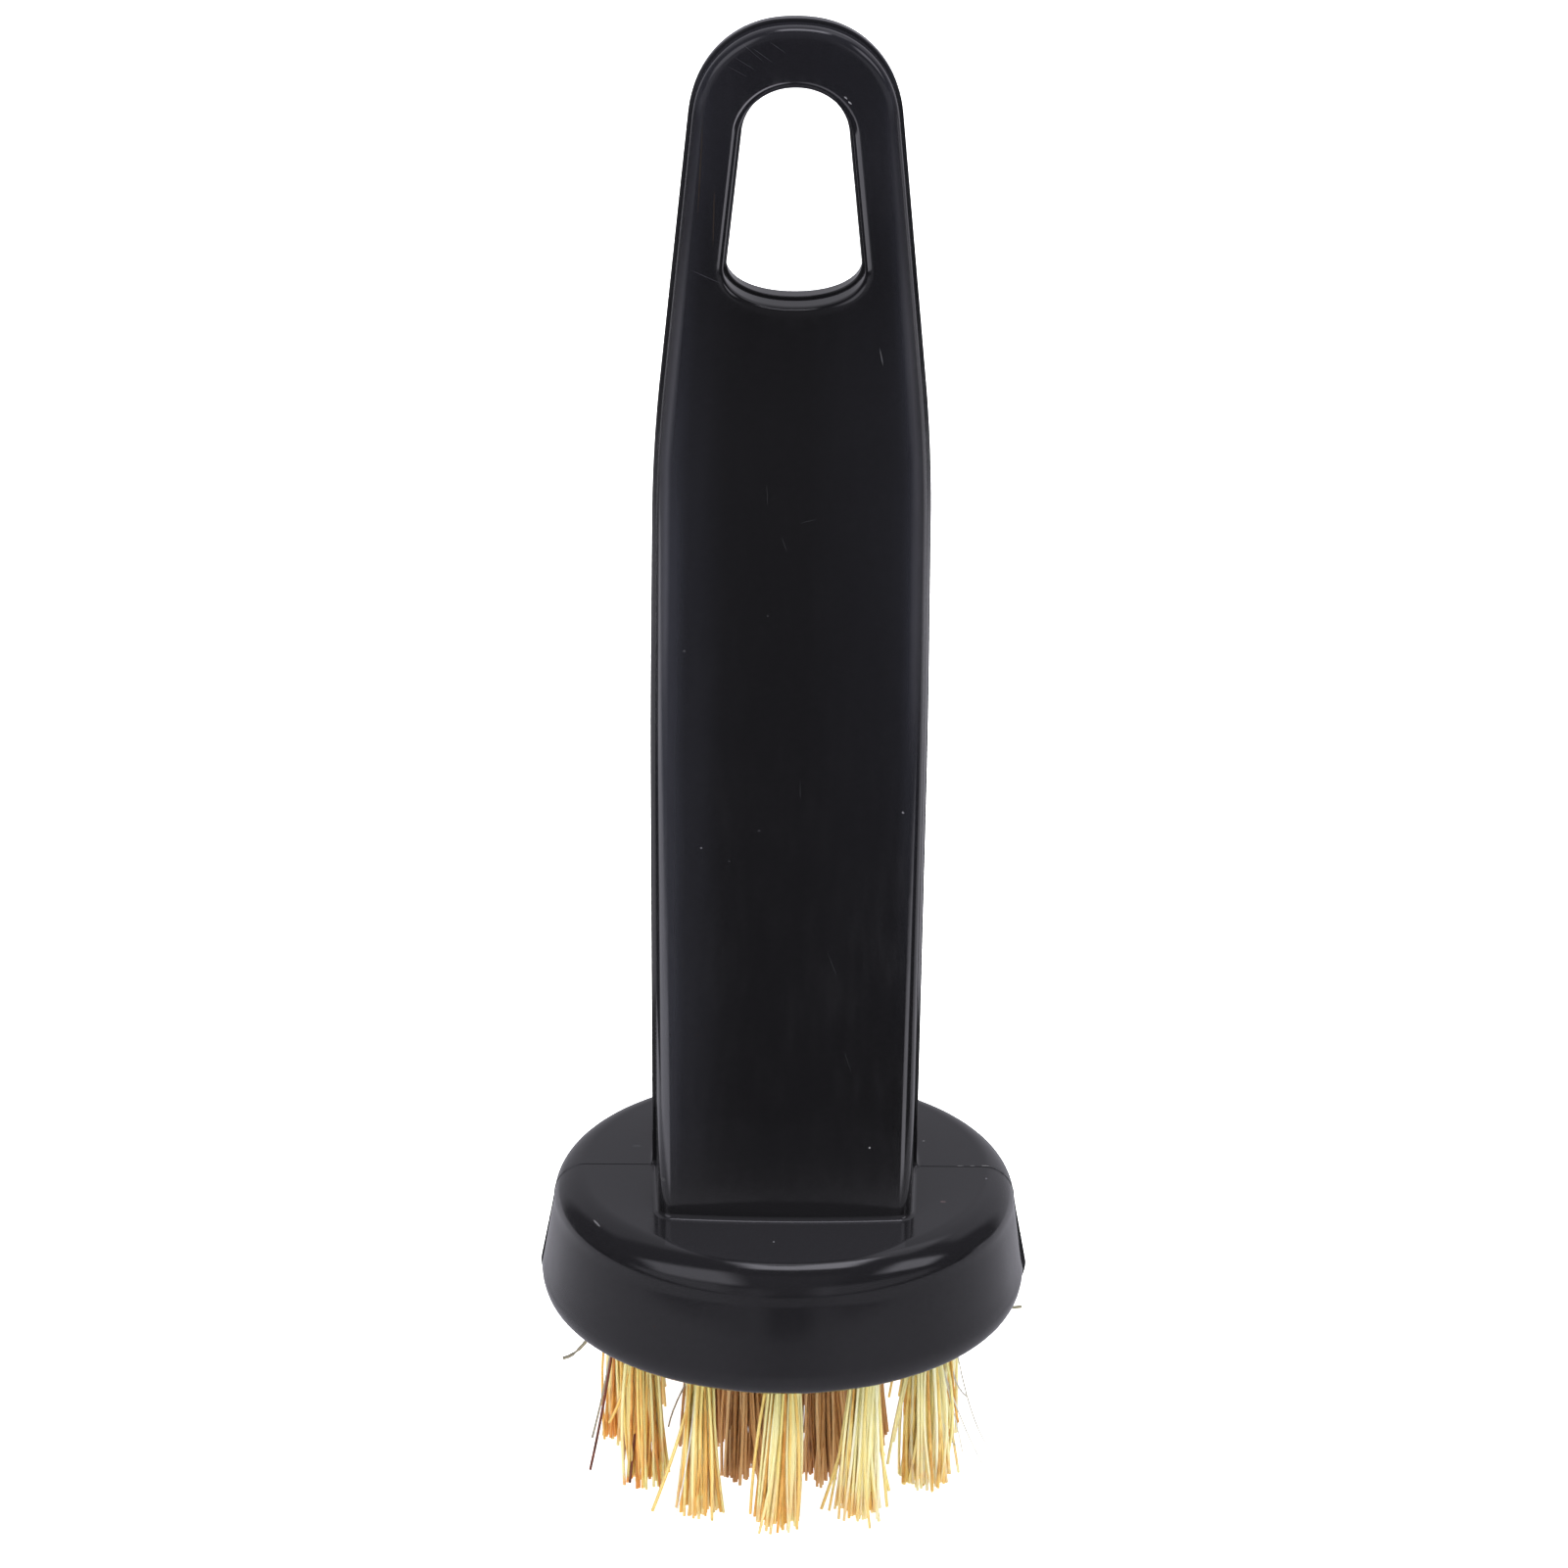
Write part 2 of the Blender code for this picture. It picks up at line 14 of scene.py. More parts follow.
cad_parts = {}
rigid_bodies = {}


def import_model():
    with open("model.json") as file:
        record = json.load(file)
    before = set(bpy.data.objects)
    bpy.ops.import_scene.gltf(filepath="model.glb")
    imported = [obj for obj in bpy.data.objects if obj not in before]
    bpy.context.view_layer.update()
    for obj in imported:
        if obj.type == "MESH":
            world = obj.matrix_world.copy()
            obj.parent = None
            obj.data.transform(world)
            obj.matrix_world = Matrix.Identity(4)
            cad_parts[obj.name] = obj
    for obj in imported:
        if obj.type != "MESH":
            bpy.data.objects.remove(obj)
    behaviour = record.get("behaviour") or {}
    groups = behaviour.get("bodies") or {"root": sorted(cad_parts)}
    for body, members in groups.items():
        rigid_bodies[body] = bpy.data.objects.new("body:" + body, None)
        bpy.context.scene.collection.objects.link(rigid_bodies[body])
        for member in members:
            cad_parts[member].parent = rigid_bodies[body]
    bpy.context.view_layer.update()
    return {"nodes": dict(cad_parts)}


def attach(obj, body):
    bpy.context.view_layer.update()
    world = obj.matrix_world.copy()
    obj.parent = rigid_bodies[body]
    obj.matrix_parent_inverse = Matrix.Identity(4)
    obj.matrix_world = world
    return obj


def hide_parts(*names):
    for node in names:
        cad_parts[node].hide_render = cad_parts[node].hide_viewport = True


MILLIMETRE = 0.001

# Handle, as in the solid: heights run up from the head's top face
HANDLE_HEIGHT = 0.1516
HANDLE_FOOT_WIDTH = 0.03445
HANDLE_BELLY_WIDTH = 0.0350
HANDLE_BELLY_HEIGHT = 0.062
HANDLE_SHOULDER_WIDTH = 0.0344
HANDLE_SHOULDER_HEIGHT = 0.098
HANDLE_END_WIDTH = 0.0259
HANDLE_END_ROUND = 0.0117
HANDLE_FOOT_THICKNESS = 0.0310
HANDLE_WAIST_THICKNESS = 0.0068
HANDLE_WAIST_HEIGHT = 0.117
HANDLE_END_THICKNESS = 0.0058
HANDLE_CROWN = 0.0007
HANDLE_FOOT_FILLET = 0.0006
EDGE_ROUND_WIDTH_AT_FOOT = 0.0017
EDGE_ROUND_WIDTH_AT_END = 0.0013
EDGE_ROUND_DEPTH_AT_FOOT = 0.0024
EDGE_ROUND_DEPTH_AT_END = 0.0014
PARTING_STEP = 0.00045
HEAD_STEP_LEFT = 0.00015
HEAD_STEP_RIGHT = 0.00040
LEDGE_ROUND = 0.00014
FACE_CUT_SNAP = 0.00001

# Hanging slot
LOOP_THICKNESS = 0.0083
SLOT_LENGTH = 0.0260
SLOT_TOP_WIDTH = 0.0129
SLOT_BOTTOM_WIDTH = 0.0163
SLOT_TOP_ARCH = 0.0054
SLOT_BOTTOM_ARCH = 0.0045
SLOT_ROUND_WIDTH = 0.0010
SLOT_ROUND_DEPTH = 0.0010
SLOT_STEP = 0.0003

# Head
HEAD_DIAMETER = 0.0637
HEAD_THICKNESS = 0.0170
HEAD_RIM_ROUND = 0.0042
HEAD_RIM_DEPTH = 0.0044
HEAD_SIDE_FLARE = 0.0018
HEAD_UNDERCUT_WIDTH = 0.0016
HEAD_UNDERCUT_DEPTH = 0.0032
SEAM_RIDGE = 0.00006

# Tufts
BRISTLE_LENGTH = 0.0236
TUFT_HOLE_DIAMETER = 0.0048
TUFT_HOLE_DEPTH = 0.0110
TUFT_TIP_DIAMETER = 0.0080
TUFT_LEAN = 0.0011
WIRE_DIAMETER = 0.00041
WIRE_START_DEPTH = 0.0050
WIRE_BOW = 0.00040
WIRE_WANDER = 0.00052
TIP_RAGGEDNESS = 0.0016
STRAY_REACH = 0.0028
WIRE_TURN = 0.4
WIRE_DRIFT_POWER = 1.15

# Edges that bend by more than this stay sharp (degrees)
PLASTIC_CREASE = 40
WIRE_CREASE = 80

# Use has pushed some tufts sideways
SIDE_LEANS = {
    "outer_01": -0.0008,
    "outer_02": -0.0013,
    "outer_12": 0.0003,
    "outer_11": 0.0015,
    "outer_10": 0.0014,
    "outer_03": -0.0005,
    "outer_04": -0.0022,
    "inner_05": 0.0012,
    "inner_06": 0.0008,
}

# Some tufts are more tousled than others
TUFT_MESS = {
    "outer_01": 0.8,
    "outer_02": 1.25,
    "outer_03": 1.7,
    "outer_04": 1.2,
    "outer_10": 1.3,
    "outer_11": 1.15,
    "outer_12": 1.1,
}

# Wires that stick out: kind, tuft, share of the usual thickness, a point on the way and the tip (millimetres)
STRAYS = (
    ("grey", "outer_10", 1.2, (-25.2, 0, 15.8), (-29.1, 0, 11.9)),
    ("grey", "outer_04", 1.1, (26.5, 2, 20), (31.7, 3.6, 18.2)),
    ("pale", "outer_04", 0.6, (21.9, -4, 14.8), (24.4, -4, 8.8)),
    ("pale", "outer_04", 0.45, (24, -4, 10.5), (27.4, -4, 1.3)),
    ("pale", "outer_03", 0.5, (22.2, -10, 12.2), (26.6, -10, 1.6)),
    ("pale", "outer_03", 0.45, (21.6, -10, 13.2), (23.7, -10, 3.9)),
    ("brass", "outer_04", 0.9, (22.2, -6, 13.7), (23.2, -6, 6.1)),
    ("pale", "outer_03", 0.5, (20.3, -10, 11), (22.7, -10, 4.9)),
    ("grey", "outer_10", 0.7, (-22.8, -2, 13.2), (-25.2, -2, 1.1)),
    ("dark", "outer_10", 0.9, (-22.8, -6, 13.2), (-25.2, -10, 0.8)),
    ("dark", "outer_11", 0.8, (-19.1, -11, 10), (-19.9, -13, 0.6)),
    ("dark", "outer_10", 0.8, (-20.7, -6, 10), (-20.8, -8, 1.2)),
    ("brass", "outer_11", 1.0, (-20.3, -10, 14.5), (-22.7, -10, 7.9)),
    ("brass", "outer_12", 1.15, (-12.4, -19, 14.8), (-16.8, -20, 0.5)),
    ("grey", "inner_06", 0.6, (-12, -6, 13), (-15, -5, 4.5)),
    ("pale", "outer_12", 0.45, (-11.9, -21, 11.8), (-13.7, -22.5, 1.2)),
    ("brass", "outer_02", 1.0, (12.2, -18, 12.2), (13.9, -18, 2.6)),
    ("brass", "outer_02", 1.0, (11.6, -18, 14.2), (13.2, -18, 7.8)),
    ("brass", "outer_03", 1.0, (15.4, -12.5, 13.5), (13.8, -13, 3.7)),
    ("brass", "outer_03", 1.0, (16, -12, 15), (14.5, -13, 7)),
)

# Counts
STRAY_POINTS = 12
OUTER_TUFTS = 12
INNER_TUFTS = 6
WIRES_IN_TUFT = 78
WIRE_SIDES = 6
WIRE_POINTS = 9
HEAD_SEGMENTS = 192
RIM_SEGMENTS = 18
UNDERCUT_SEGMENTS = 10
EDGE_ROUND_SEGMENTS = 10
SLOT_ROUND_SEGMENTS = 8
WALL_SEGMENTS = 5
LEDGE_SEGMENTS = 3
CORNER_SEGMENTS = 12
RUN_SEGMENTS = 60
FACE_COLUMNS = 18
END_ARC_SEGMENTS = 44
SLOT_ARC_SEGMENTS = 28
FILLET_SEGMENTS = 6
HOLE_SIDES = 32
RIDGE_SIDES = 6
SEED = 23

# Shares
END_SQUARENESS_SHARE = 2.25
SLOT_SQUARENESS_SHARE = 2.1
BLEND_SHARE = 0.25
WAIST_BLEND_SHARE = 0.4
DRAFT_SHARE = 0.045
HANDLE_ROOT_SHARE = 0.35
OUTER_RING_SHARE = 0.66
INNER_RING_SHARE = 0.311
STEP_GROWTH_SHARE = 0.45
STRAY_SHARE = 0.05
PACKED_SHARE = 0.82
WIRE_THICKNESS_SHARES = (0.88, 1.1)

# Heights in the finished brush
HEAD_BOTTOM = BRISTLE_LENGTH
HEAD_TOP = HEAD_BOTTOM + HEAD_THICKNESS
HANDLE_ROOT = -HEAD_THICKNESS * HANDLE_ROOT_SHARE
END_START = HANDLE_HEIGHT - HANDLE_END_ROUND
SLOT_TOP = HANDLE_HEIGHT - LOOP_THICKNESS
SLOT_BOTTOM = SLOT_TOP - SLOT_LENGTH
BRUSH_HEIGHT = HEAD_TOP + HANDLE_HEIGHT
OUTER_RING_RADIUS = HEAD_DIAMETER / 2 * OUTER_RING_SHARE
INNER_RING_RADIUS = HEAD_DIAMETER / 2 * INNER_RING_SHARE

# Tints of the black plastic by height above the head's top, up to the lighter loop. The lighter foot of the
# handle is a painted reflection of the head's top
HEAD_TINT = (0.0070, 0.0068, 0.0079)
HANDLE_TINT = (0.0040, 0.0039, 0.0045)
FOOT_REFLECTION_TINT = (0.0130, 0.0127, 0.0140)
LOOP_TINT = (0.0080, 0.0080, 0.0100)
PLASTIC_TINTS = (
    (-HEAD_RIM_DEPTH, (0.0065, 0.0063, 0.0074)),
    (0, HEAD_TINT),
    # Painted reflection: the handle's foot and its fillet are lighter, fading out by 14 mm up, as where they
    # mirror the head's top
    (0.0004, FOOT_REFLECTION_TINT),
    (0.0022, FOOT_REFLECTION_TINT),
    (0.0050, (0.0098, 0.0096, 0.0106)),
    (0.0090, (0.0062, 0.0061, 0.0069)),
    (0.0140, HANDLE_TINT),
    (0.1194, HANDLE_TINT),
    (0.1354, LOOP_TINT),
)

# Gloss of the plastic: fine noise drawn out along the handle, broad noise, and what each does
PLASTIC_IOR = 1.5
STREAK_SHARE = 0.08
STREAK_SCALE = 900.0
STREAK_DETAIL = 3.0
WAVE_SCALE = 70.0
WAVE_DETAIL = 5.0
PLASTIC_ROUGHNESS_NOISE = (0.15, 0.40)
PLASTIC_ROUGHNESS = (0.07, 0.15)

# Strength and distance of the bumps
STREAK_BUMP = (0.06, 0.00004)
WAVE_BUMP = (0.08, 0.0003)

# Painted sheen of the handle, bluish and strongest near its edges. Across it, the amount by place between its
# sides, from -1 at the left to 1 at the right.
# Along it, the share of that amount by height above the floor.
SHEEN_TINT = (0.86, 0.92, 1.25)
EDGE_HIGHLIGHT_TINT = (1.00, 0.98, 1.07)
SHEEN_MOST = 0.03
SHEEN_HEIGHT_MOST = 1.2
SHEEN_STREAK_SHARE = 0.12
SHEEN_STREAK_SCALE = 260.0
SHEEN_UNEVENNESS = 0.9
SHEEN_EVENNESS = 0.55
SHEEN_LEFT = (
    ((-0.95, 0.001), (-0.90, 0.013), (-0.82, 0.0115), (-0.74, 0.0047), (-0.65, 0.0035), (-0.57, 0.0020),
     (-0.48, 0.0004), (-0.30, 0.0)),
    ((0.042, 0.0), (0.052, 0.7), (0.075, 1.0), (0.130, 1.0), (0.150, 0.6), (0.168, 0.4)),
)
SHEEN_RIGHT = (
    ((0.10, 0.0), (0.30, 0.0009), (0.53, 0.0016), (0.70, 0.0023), (0.78, 0.0034), (0.84, 0.0080),
     (0.89, 0.0080), (0.94, 0.001)),
    ((0.060, 0.0), (0.085, 0.4), (0.110, 1.0), (0.130, 1.2), (0.150, 1.2), (0.172, 0.5)),
)
# Painted highlights: light lines along the rounded long edges on the upper part of the handle
EDGE_HIGHLIGHTS = (
    ((-0.98, 0.0), (-0.955, 0.024), (-0.89, 0.024), (-0.86, 0.0), (0.84, 0.0), (0.865, 0.014),
     (0.955, 0.022), (0.98, 0.0)),
    ((0.098, 0.0), (0.118, 1.0), (0.156, 1.0), (0.168, 0.5), (0.180, 0.2)),
)
PAINTED_SHEENS = (SHEEN_LEFT, SHEEN_RIGHT, EDGE_HIGHLIGHTS)

# Painted reflection of the handle's front face on the flat in front of the handle
REFLECTED_FACE_TINT = (0.0127, 0.0124, 0.0142)
REFLECTED_FACE_SIDE = 0.0150
REFLECTED_FACE_BACK = 0.0152
REFLECTED_FACE_EDGE = 0.0003

# Small marks of use: centre, half length and half width (millimetres), turn, tint
MARK_DEPTH = 0.0012
MARK_EDGE = (1.0, 0.6)
FACE_MARKS = (
    ((5.9, -3.15, 183.35), (0.28, 0.1), -0.7, (0.22, 0.22, 0.23)),
    ((6.4, -3.15, 182.75), (0.3, 0.1), -0.7, (0.26, 0.26, 0.27)),
    ((-4.05, -3.1, 188.4), (1.75, 0.03), -0.62, (0.035, 0.035, 0.04)),
    ((-6.1, -3.05, 187.35), (1.7, 0.03), -0.55, (0.030, 0.030, 0.034)),
    ((-2.25, -3.05, 189.35), (1.3, 0.03), -0.61, (0.035, 0.035, 0.04)),
    ((-5.2, -3.05, 188.7), (1.9, 0.03), -0.70, (0.028, 0.028, 0.032)),
    ((-7, -3, 186.4), (1.5, 0.03), -0.50, (0.028, 0.028, 0.032)),
    ((-10.6, -3.4, 161.3), (2.3, 0.04), -0.415, (0.035, 0.035, 0.04)),
    ((-9.75, -3.35, 168.6), (4.2, 0.12), -1.59, (0.018, 0.014, 0.012)),
    ((-11.4, -3.25, 174.2), (6.7, 0.12), -1.62, (0.018, 0.014, 0.012)),
    ((10.67, -4.22, 151.6), (1.25, 0.07), -1.36, (0.07, 0.07, 0.075)),
    ((-3.05, -6.01, 134.52), (1.6, 0.04), -1.52, (0.020, 0.020, 0.022)),
    ((2.03, -6.34, 131.3), (1.3, 0.04), 0.25, (0.019, 0.019, 0.021)),
    ((-0.87, -6.65, 128.33), (1.1, 0.04), -1.2, (0.022, 0.022, 0.024)),
    ((-2.84, -7.58, 119.41), (0.12, 0.1), 0.0, (0.040, 0.040, 0.044)),
    ((-13.1, -8.06, 114.83), (0.22, 0.16), 0.3, (0.034, 0.034, 0.037)),
    ((-16.13, -7.49, 120.28), (0.5, 0.05), 0.9, (0.034, 0.034, 0.037)),
    ((1.38, -9.89, 97.38), (1.5, 0.04), -1.55, (0.018, 0.018, 0.020)),
    ((-3.69, -10.44, 92.05), (0.22, 0.12), 0.4, (0.030, 0.030, 0.033)),
    ((5.58, -12.24, 74.84), (2.4, 0.04), -1.2, (0.016, 0.016, 0.018)),
    ((7.75, -13.6, 61.85), (1.8, 0.04), -1.25, (0.017, 0.017, 0.019)),
    ((-7.39, -10.86, 88.09), (0.18, 0.12), 0.0, (0.022, 0.022, 0.024)),
    ((-10.88, -10.66, 89.7), (0.16, 0.13), 0.0, (0.10, 0.10, 0.11)),
    ((14.2, -10, 94.4), (0.2, 0.14), -0.8, (0.12, 0.12, 0.13)),
    ((10.67, -14.82, 50.44), (0.12, 0.12), 0.0, (0.30, 0.30, 0.31)),
    ((-15.54, -14.73, 45.61), (0.35, 0.3), 0.0, (0.03, 0.03, 0.032)),
)
HEAD_MARKS = (
    ((18.36, 7.49, 40.6), (0.2, 0.35), 0.0, (0.06, 0.06, 0.062)),
    ((-19.4, 5.38, 40.6), (0.7, 0.25), 0.0, (0.025, 0.026, 0.028)),
    ((-24, -15.2, 39.37), (1.2, 0.11), -1.08, (0.09, 0.09, 0.095)),
    ((20.36, -10.25, 40.6), (0.45, 0.3), 0.0, (0.045, 0.030, 0.032)),
    ((22.9, 0.2, 40.6), (0.55, 0.09), 0.05, (0.12, 0.12, 0.12)),
    ((24.5, 0.24, 40.6), (0.4, 0.08), 0.05, (0.12, 0.12, 0.12)),
    ((26.2, 0.3, 40.55), (0.65, 0.09), 0.05, (0.15, 0.15, 0.15)),
    ((-1.43, -21.85, 40.6), (0.14, 0.18), 0.0, (0.10, 0.10, 0.11)),
    ((26.18, -3.41, 40.47), (0.14, 0.2), 0.0, (0.10, 0.10, 0.11)),
)

# Wires: colours by tone, then the colour and the share of the worn patches towards the tips
WIRE_LOOKS = {
    "brass_wire_bright": (
        ((0.0, (0.62, 0.27, 0.05)), (0.16, (0.95, 0.62, 0.17)), (0.45, (1.0, 0.86, 0.34)),
         (0.75, (1.0, 0.93, 0.47)), (1.0, (0.98, 0.93, 0.56))),
        (0.97, 0.50, 0.12),
        0.55,
    ),
    "brass_wire_pale": (
        ((0.0, (0.74, 0.40, 0.10)), (0.10, (1.0, 0.78, 0.27)), (0.35, (1.0, 0.92, 0.42)),
         (1.0, (1.0, 0.98, 0.72))),
        (1.0, 0.60, 0.16),
        0.6,
    ),
    "brass_wire_reddish": (
        ((0.0, (0.66, 0.26, 0.06)), (0.14, (1.0, 0.62, 0.17)), (0.38, (1.0, 0.85, 0.30)),
         (1.0, (1.0, 0.95, 0.50))),
        (1.0, 0.42, 0.10),
        0.75,
    ),
    # Painted shade: a darker copy of the brass for the inner tufts, which the outer tufts shade
    "brass_wire_painted_shade": (
        ((0.0, (0.36, 0.17, 0.06)), (0.5, (0.78, 0.46, 0.19)), (1.0, (0.95, 0.68, 0.36))),
        (0.66, 0.33, 0.13),
        0.6,
    ),
    "stray_wire_pale": (((0.0, (0.62, 0.60, 0.55)), (1.0, (0.90, 0.90, 0.86))), (0.95, 0.94, 0.90), 0.8),
    "stray_wire_grey": (((0.0, (0.34, 0.31, 0.22)), (1.0, (0.52, 0.50, 0.42))), (0.30, 0.28, 0.22), 0.8),
    "stray_wire_dark": (((0.0, (0.22, 0.06, 0.04)), (1.0, (0.45, 0.18, 0.12))), (0.03, 0.02, 0.02), 0.9),
}
STRAY_LOOKS = {
    "brass": "brass_wire_bright",
    "pale": "stray_wire_pale",
    "grey": "stray_wire_grey",
    "dark": "stray_wire_dark",
}
TUFT_LOOKS = {
    "brass_wire_pale": ("outer_02", "outer_03", "outer_04"),
    "brass_wire_reddish": ("outer_10", "outer_11"),
}
WIRE_METALLIC = 0.3
WIRE_ROUGHNESS = 0.38
WIRE_PATCH_SCALE = 260.0
WIRE_PATCH_DETAIL = 3.0
WIRE_PATCH_SHARE = 0.5

# Where wires are darkened by painted shade under the head, or worn: 0 is the head and 1 the tip, then the
# range of the noise
WIRE_SHADE_TINT = (0.74, 0.74, 0.62)
WIRE_SHADE_REACH = (0.55, 0.15)
WIRE_WORN_REACH = (0.5, 1.0)
WIRE_WORN_PATCHES = (0.40, 0.62)

# Steel of the anchors
STEEL_TINT = (0.55, 0.55, 0.57)
STEEL_GRAIN_SCALE = 2500.0
STEEL_ROUGHNESS = (0.3, 0.6)

# Floor and backdrop
FLOOR_SIDE = 2.5
FLOOR_FRONT = 0.16
FLOOR_BACK = 4.0
FLOOR_GREY = 0.9
FLOOR_ROUGHNESS = 0.7
FLOOR_GLOW = 1.15
BACKDROP_RADIUS = 7.0
BACKDROP_SEGMENTS = 48
BACKDROP_GLOW = 1.1

# The dish that the plastic mirrors in place of the floor, with shares of its radius where its glow changes
DISH_RADIUS = 0.092
DISH_WALL = 0.0268
DISH_WALL_FADE = 0.0030
DISH_DROP = 0.0005
DISH_PASSAGE_SHARES = (0.78, 0.98)

# Glow of the dish near the brush, and further off by direction: 0 is the front, minus is left
TABLE_GLOW_NEAR = 0.48
TABLE_GLOW = (
    (-180, 0.10), (-120, 0.68), (-90, 0.57), (-55, 0.51), (-30, 0.47), (-14, 0.39), (0, 0.32), (12, 0.35),
    (25, 0.43), (60, 0.45), (90, 0.55), (120, 0.68), (180, 0.10),
)

# Room: its tint, its even light, and the dimmer light low behind, with the turns where that sets in
ROOM_TINT = (1.0, 0.985, 1.09)
ROOM_LIGHT = 0.085
LOW_BACK_LIGHT = 0.04
LOW_BACK_TURNS = (192, 202)

# Soft light panels of the room: turn from the front horizon over the top (degrees), side tilt (degrees),
# softness of the edges (degrees) and strength
PANELS = (
    ((112, 196), (-46, 54), 7, 0.31),
    ((112, 196), (12, 56), 7, 0.10),
    ((84, 105), (-9, 19), 4, 3.3),
    ((100, 120), (14, 34), 5, 0.55),
    ((24, 66), (-62, -20), 7, 1.30),
    ((48, 80), (40, 68), 6, 2.00),
    ((-8, 20), (-75, -28), 6, 0.45),
    ((-8, 22), (14, 75), 6, 0.32),
    ((-20, 16), (-28, -8), 6, 0.22),
    ((-6, 60), (-16, 24), 6, 0.09),
    ((-34, -18.5), (2.2, 26), 1.2, 4.4),
    ((-34, -18.5), (-26, -0.6), 1.2, 1.6),
    ((200, 250), (24, 75), 6, 0.65),
)

# Low strips of light: compass direction from the front, minus is left (degrees), height (degrees), softness
# of the ends and of the long edges (degrees) and strength
STRIPS = (
    ((-108, -22), (-22, -13.3), (7, 1.2), 2.1),
    ((23, 58), (-22, -13.3), (5, 1.2), 2.6),
)

# The one real light
TOP_LIGHT_PLACE = (0.0, -0.15, 1.10)
TOP_LIGHT_TARGET = (0, 0, 0.05)
TOP_LIGHT_SIZE = (0.6, 0.5)
TOP_LIGHT_POWER = 22.0

# Camera: where it stands from the middle of the head's top, and how it is turned
CAMERA_DISTANCE = 0.6390
CAMERA_ELEVATION = math.radians(26.254)
CAMERA_YAW = math.radians(-0.443)
CAMERA_PITCH = math.radians(21.793)
CAMERA_PAN = math.radians(0.058)
CAMERA_ROLL = math.radians(0.594)
FOCAL_PIXELS = 4988.0
FRAME_PIXELS = 1601
SENSOR_MM = 36.0
CAMERA_CLIP = 0.01


def metres(sizes):
    return [size * MILLIMETRE for size in sizes]


# Outlines in the XZ plane, at the parting plane


def toward(a, b, share):
    return (a[0] + (b[0] - a[0]) * share, a[1] + (b[1] - a[1]) * share)


def line_at(low, high, height):
    """Half width at a height on the straight line through two (height, half width) points."""
    return low[1] + (high[1] - low[1]) * (height - low[0]) / (high[0] - low[0])


def rounded_track(corners, blend_share, segments):
    """Points along straight runs between (height, size) corners, each inner corner blended by a curve."""
    track = [corners[0]]
    for before, corner, after in zip(corners, corners[1:], corners[2:]):
        reach = blend_share * min(abs(corner[0] - before[0]), abs(after[0] - corner[0]))
        start = toward(corner, before, reach / abs(corner[0] - before[0]))
        end = toward(corner, after, reach / abs(after[0] - corner[0]))
        for step in range(segments + 1):
            t = step / segments
            track.append(toward(toward(start, corner, t), toward(corner, end, t), t))
    track.append(corners[-1])
    return track


def divided(track, longest):
    points = [track[0]]
    for start, end in zip(track, track[1:]):
        steps = max(1, math.ceil(abs(end[0] - start[0]) / longest))
        points += [toward(start, end, step / steps) for step in range(1, steps + 1)]
    return points


def arch(start, rise, low, high, squareness, segments):
    """Points from a straight side at height start round to the middle, which lies rise away from it."""
    points = []
    for step in range(1, segments + 1):
        turn = math.pi / 2 * step / segments
        height = start + rise * math.sin(turn) ** (2 / squareness)
        width = line_at(low, high, height) * max(0, math.cos(turn)) ** (2 / squareness)
        points.append((height, width if step < segments else 0))
    return points


def mirrored(side):
    right = [(width, height) for height, width in side]
    left = [(-width, height) for height, width in reversed(side[:-1])]
    return right + left


def handle_outline():
    foot = (0, HANDLE_FOOT_WIDTH / 2)
    belly = (HANDLE_BELLY_HEIGHT, HANDLE_BELLY_WIDTH / 2)
    shoulder = (HANDLE_SHOULDER_HEIGHT, HANDLE_SHOULDER_WIDTH / 2)
    end = (END_START, HANDLE_END_WIDTH / 2)
    side = [(HANDLE_ROOT, HANDLE_FOOT_WIDTH / 2)]
    track = rounded_track([foot, belly, shoulder, end], BLEND_SHARE, CORNER_SEGMENTS)
    side += divided(track, HANDLE_HEIGHT / RUN_SEGMENTS)
    side += arch(END_START, HANDLE_END_ROUND, shoulder, end, END_SQUARENESS_SHARE, END_ARC_SEGMENTS)
    return mirrored(side)


def slot_outline():
    low = (SLOT_BOTTOM + SLOT_BOTTOM_ARCH, SLOT_BOTTOM_WIDTH / 2)
    high = (SLOT_TOP - SLOT_TOP_ARCH, SLOT_TOP_WIDTH / 2)
    top = arch(high[0], SLOT_TOP_ARCH, low, high, SLOT_SQUARENESS_SHARE, SLOT_ARC_SEGMENTS)
    bottom = arch(low[0], -SLOT_BOTTOM_ARCH, low, high, SLOT_SQUARENESS_SHARE, SLOT_ARC_SEGMENTS)
    straight = divided([low, high], HANDLE_HEIGHT / RUN_SEGMENTS)
    side = list(reversed(bottom)) + straight + top
    return mirrored(side)[:-1]


def shifted(points, distances, closed):
    """The outline, each point moved by its distance to the left of the direction of travel."""
    moved = []
    count = len(points)
    for index, ((x, z), distance) in enumerate(zip(points, distances)):
        before = points[index - 1] if closed or index else None
        after = points[(index + 1) % count] if closed or index + 1 < count else None
        if before is None or after is None:
            moved.append((x - distance if x > 0 else x + distance, z))
            continue
        incoming = Vector((x - before[0], z - before[1])).normalized()
        outgoing = Vector((after[0] - x, after[1] - z)).normalized()
        travel = (incoming + outgoing).normalized()
        stretch = 1 / max(math.sqrt(1 / 2), travel.dot(outgoing))
        moved.append((x - travel.y * distance * stretch, z + travel.x * distance * stretch))
    return moved


# The moulded handle


def thickness_track():
    corners = [
        (0, HANDLE_FOOT_THICKNESS / 2),
        (HANDLE_WAIST_HEIGHT, HANDLE_WAIST_THICKNESS / 2),
        (HANDLE_HEIGHT, HANDLE_END_THICKNESS / 2),
    ]
    return rounded_track(corners, WAIST_BLEND_SHARE, CORNER_SEGMENTS)


THICKNESS_TRACK = thickness_track()


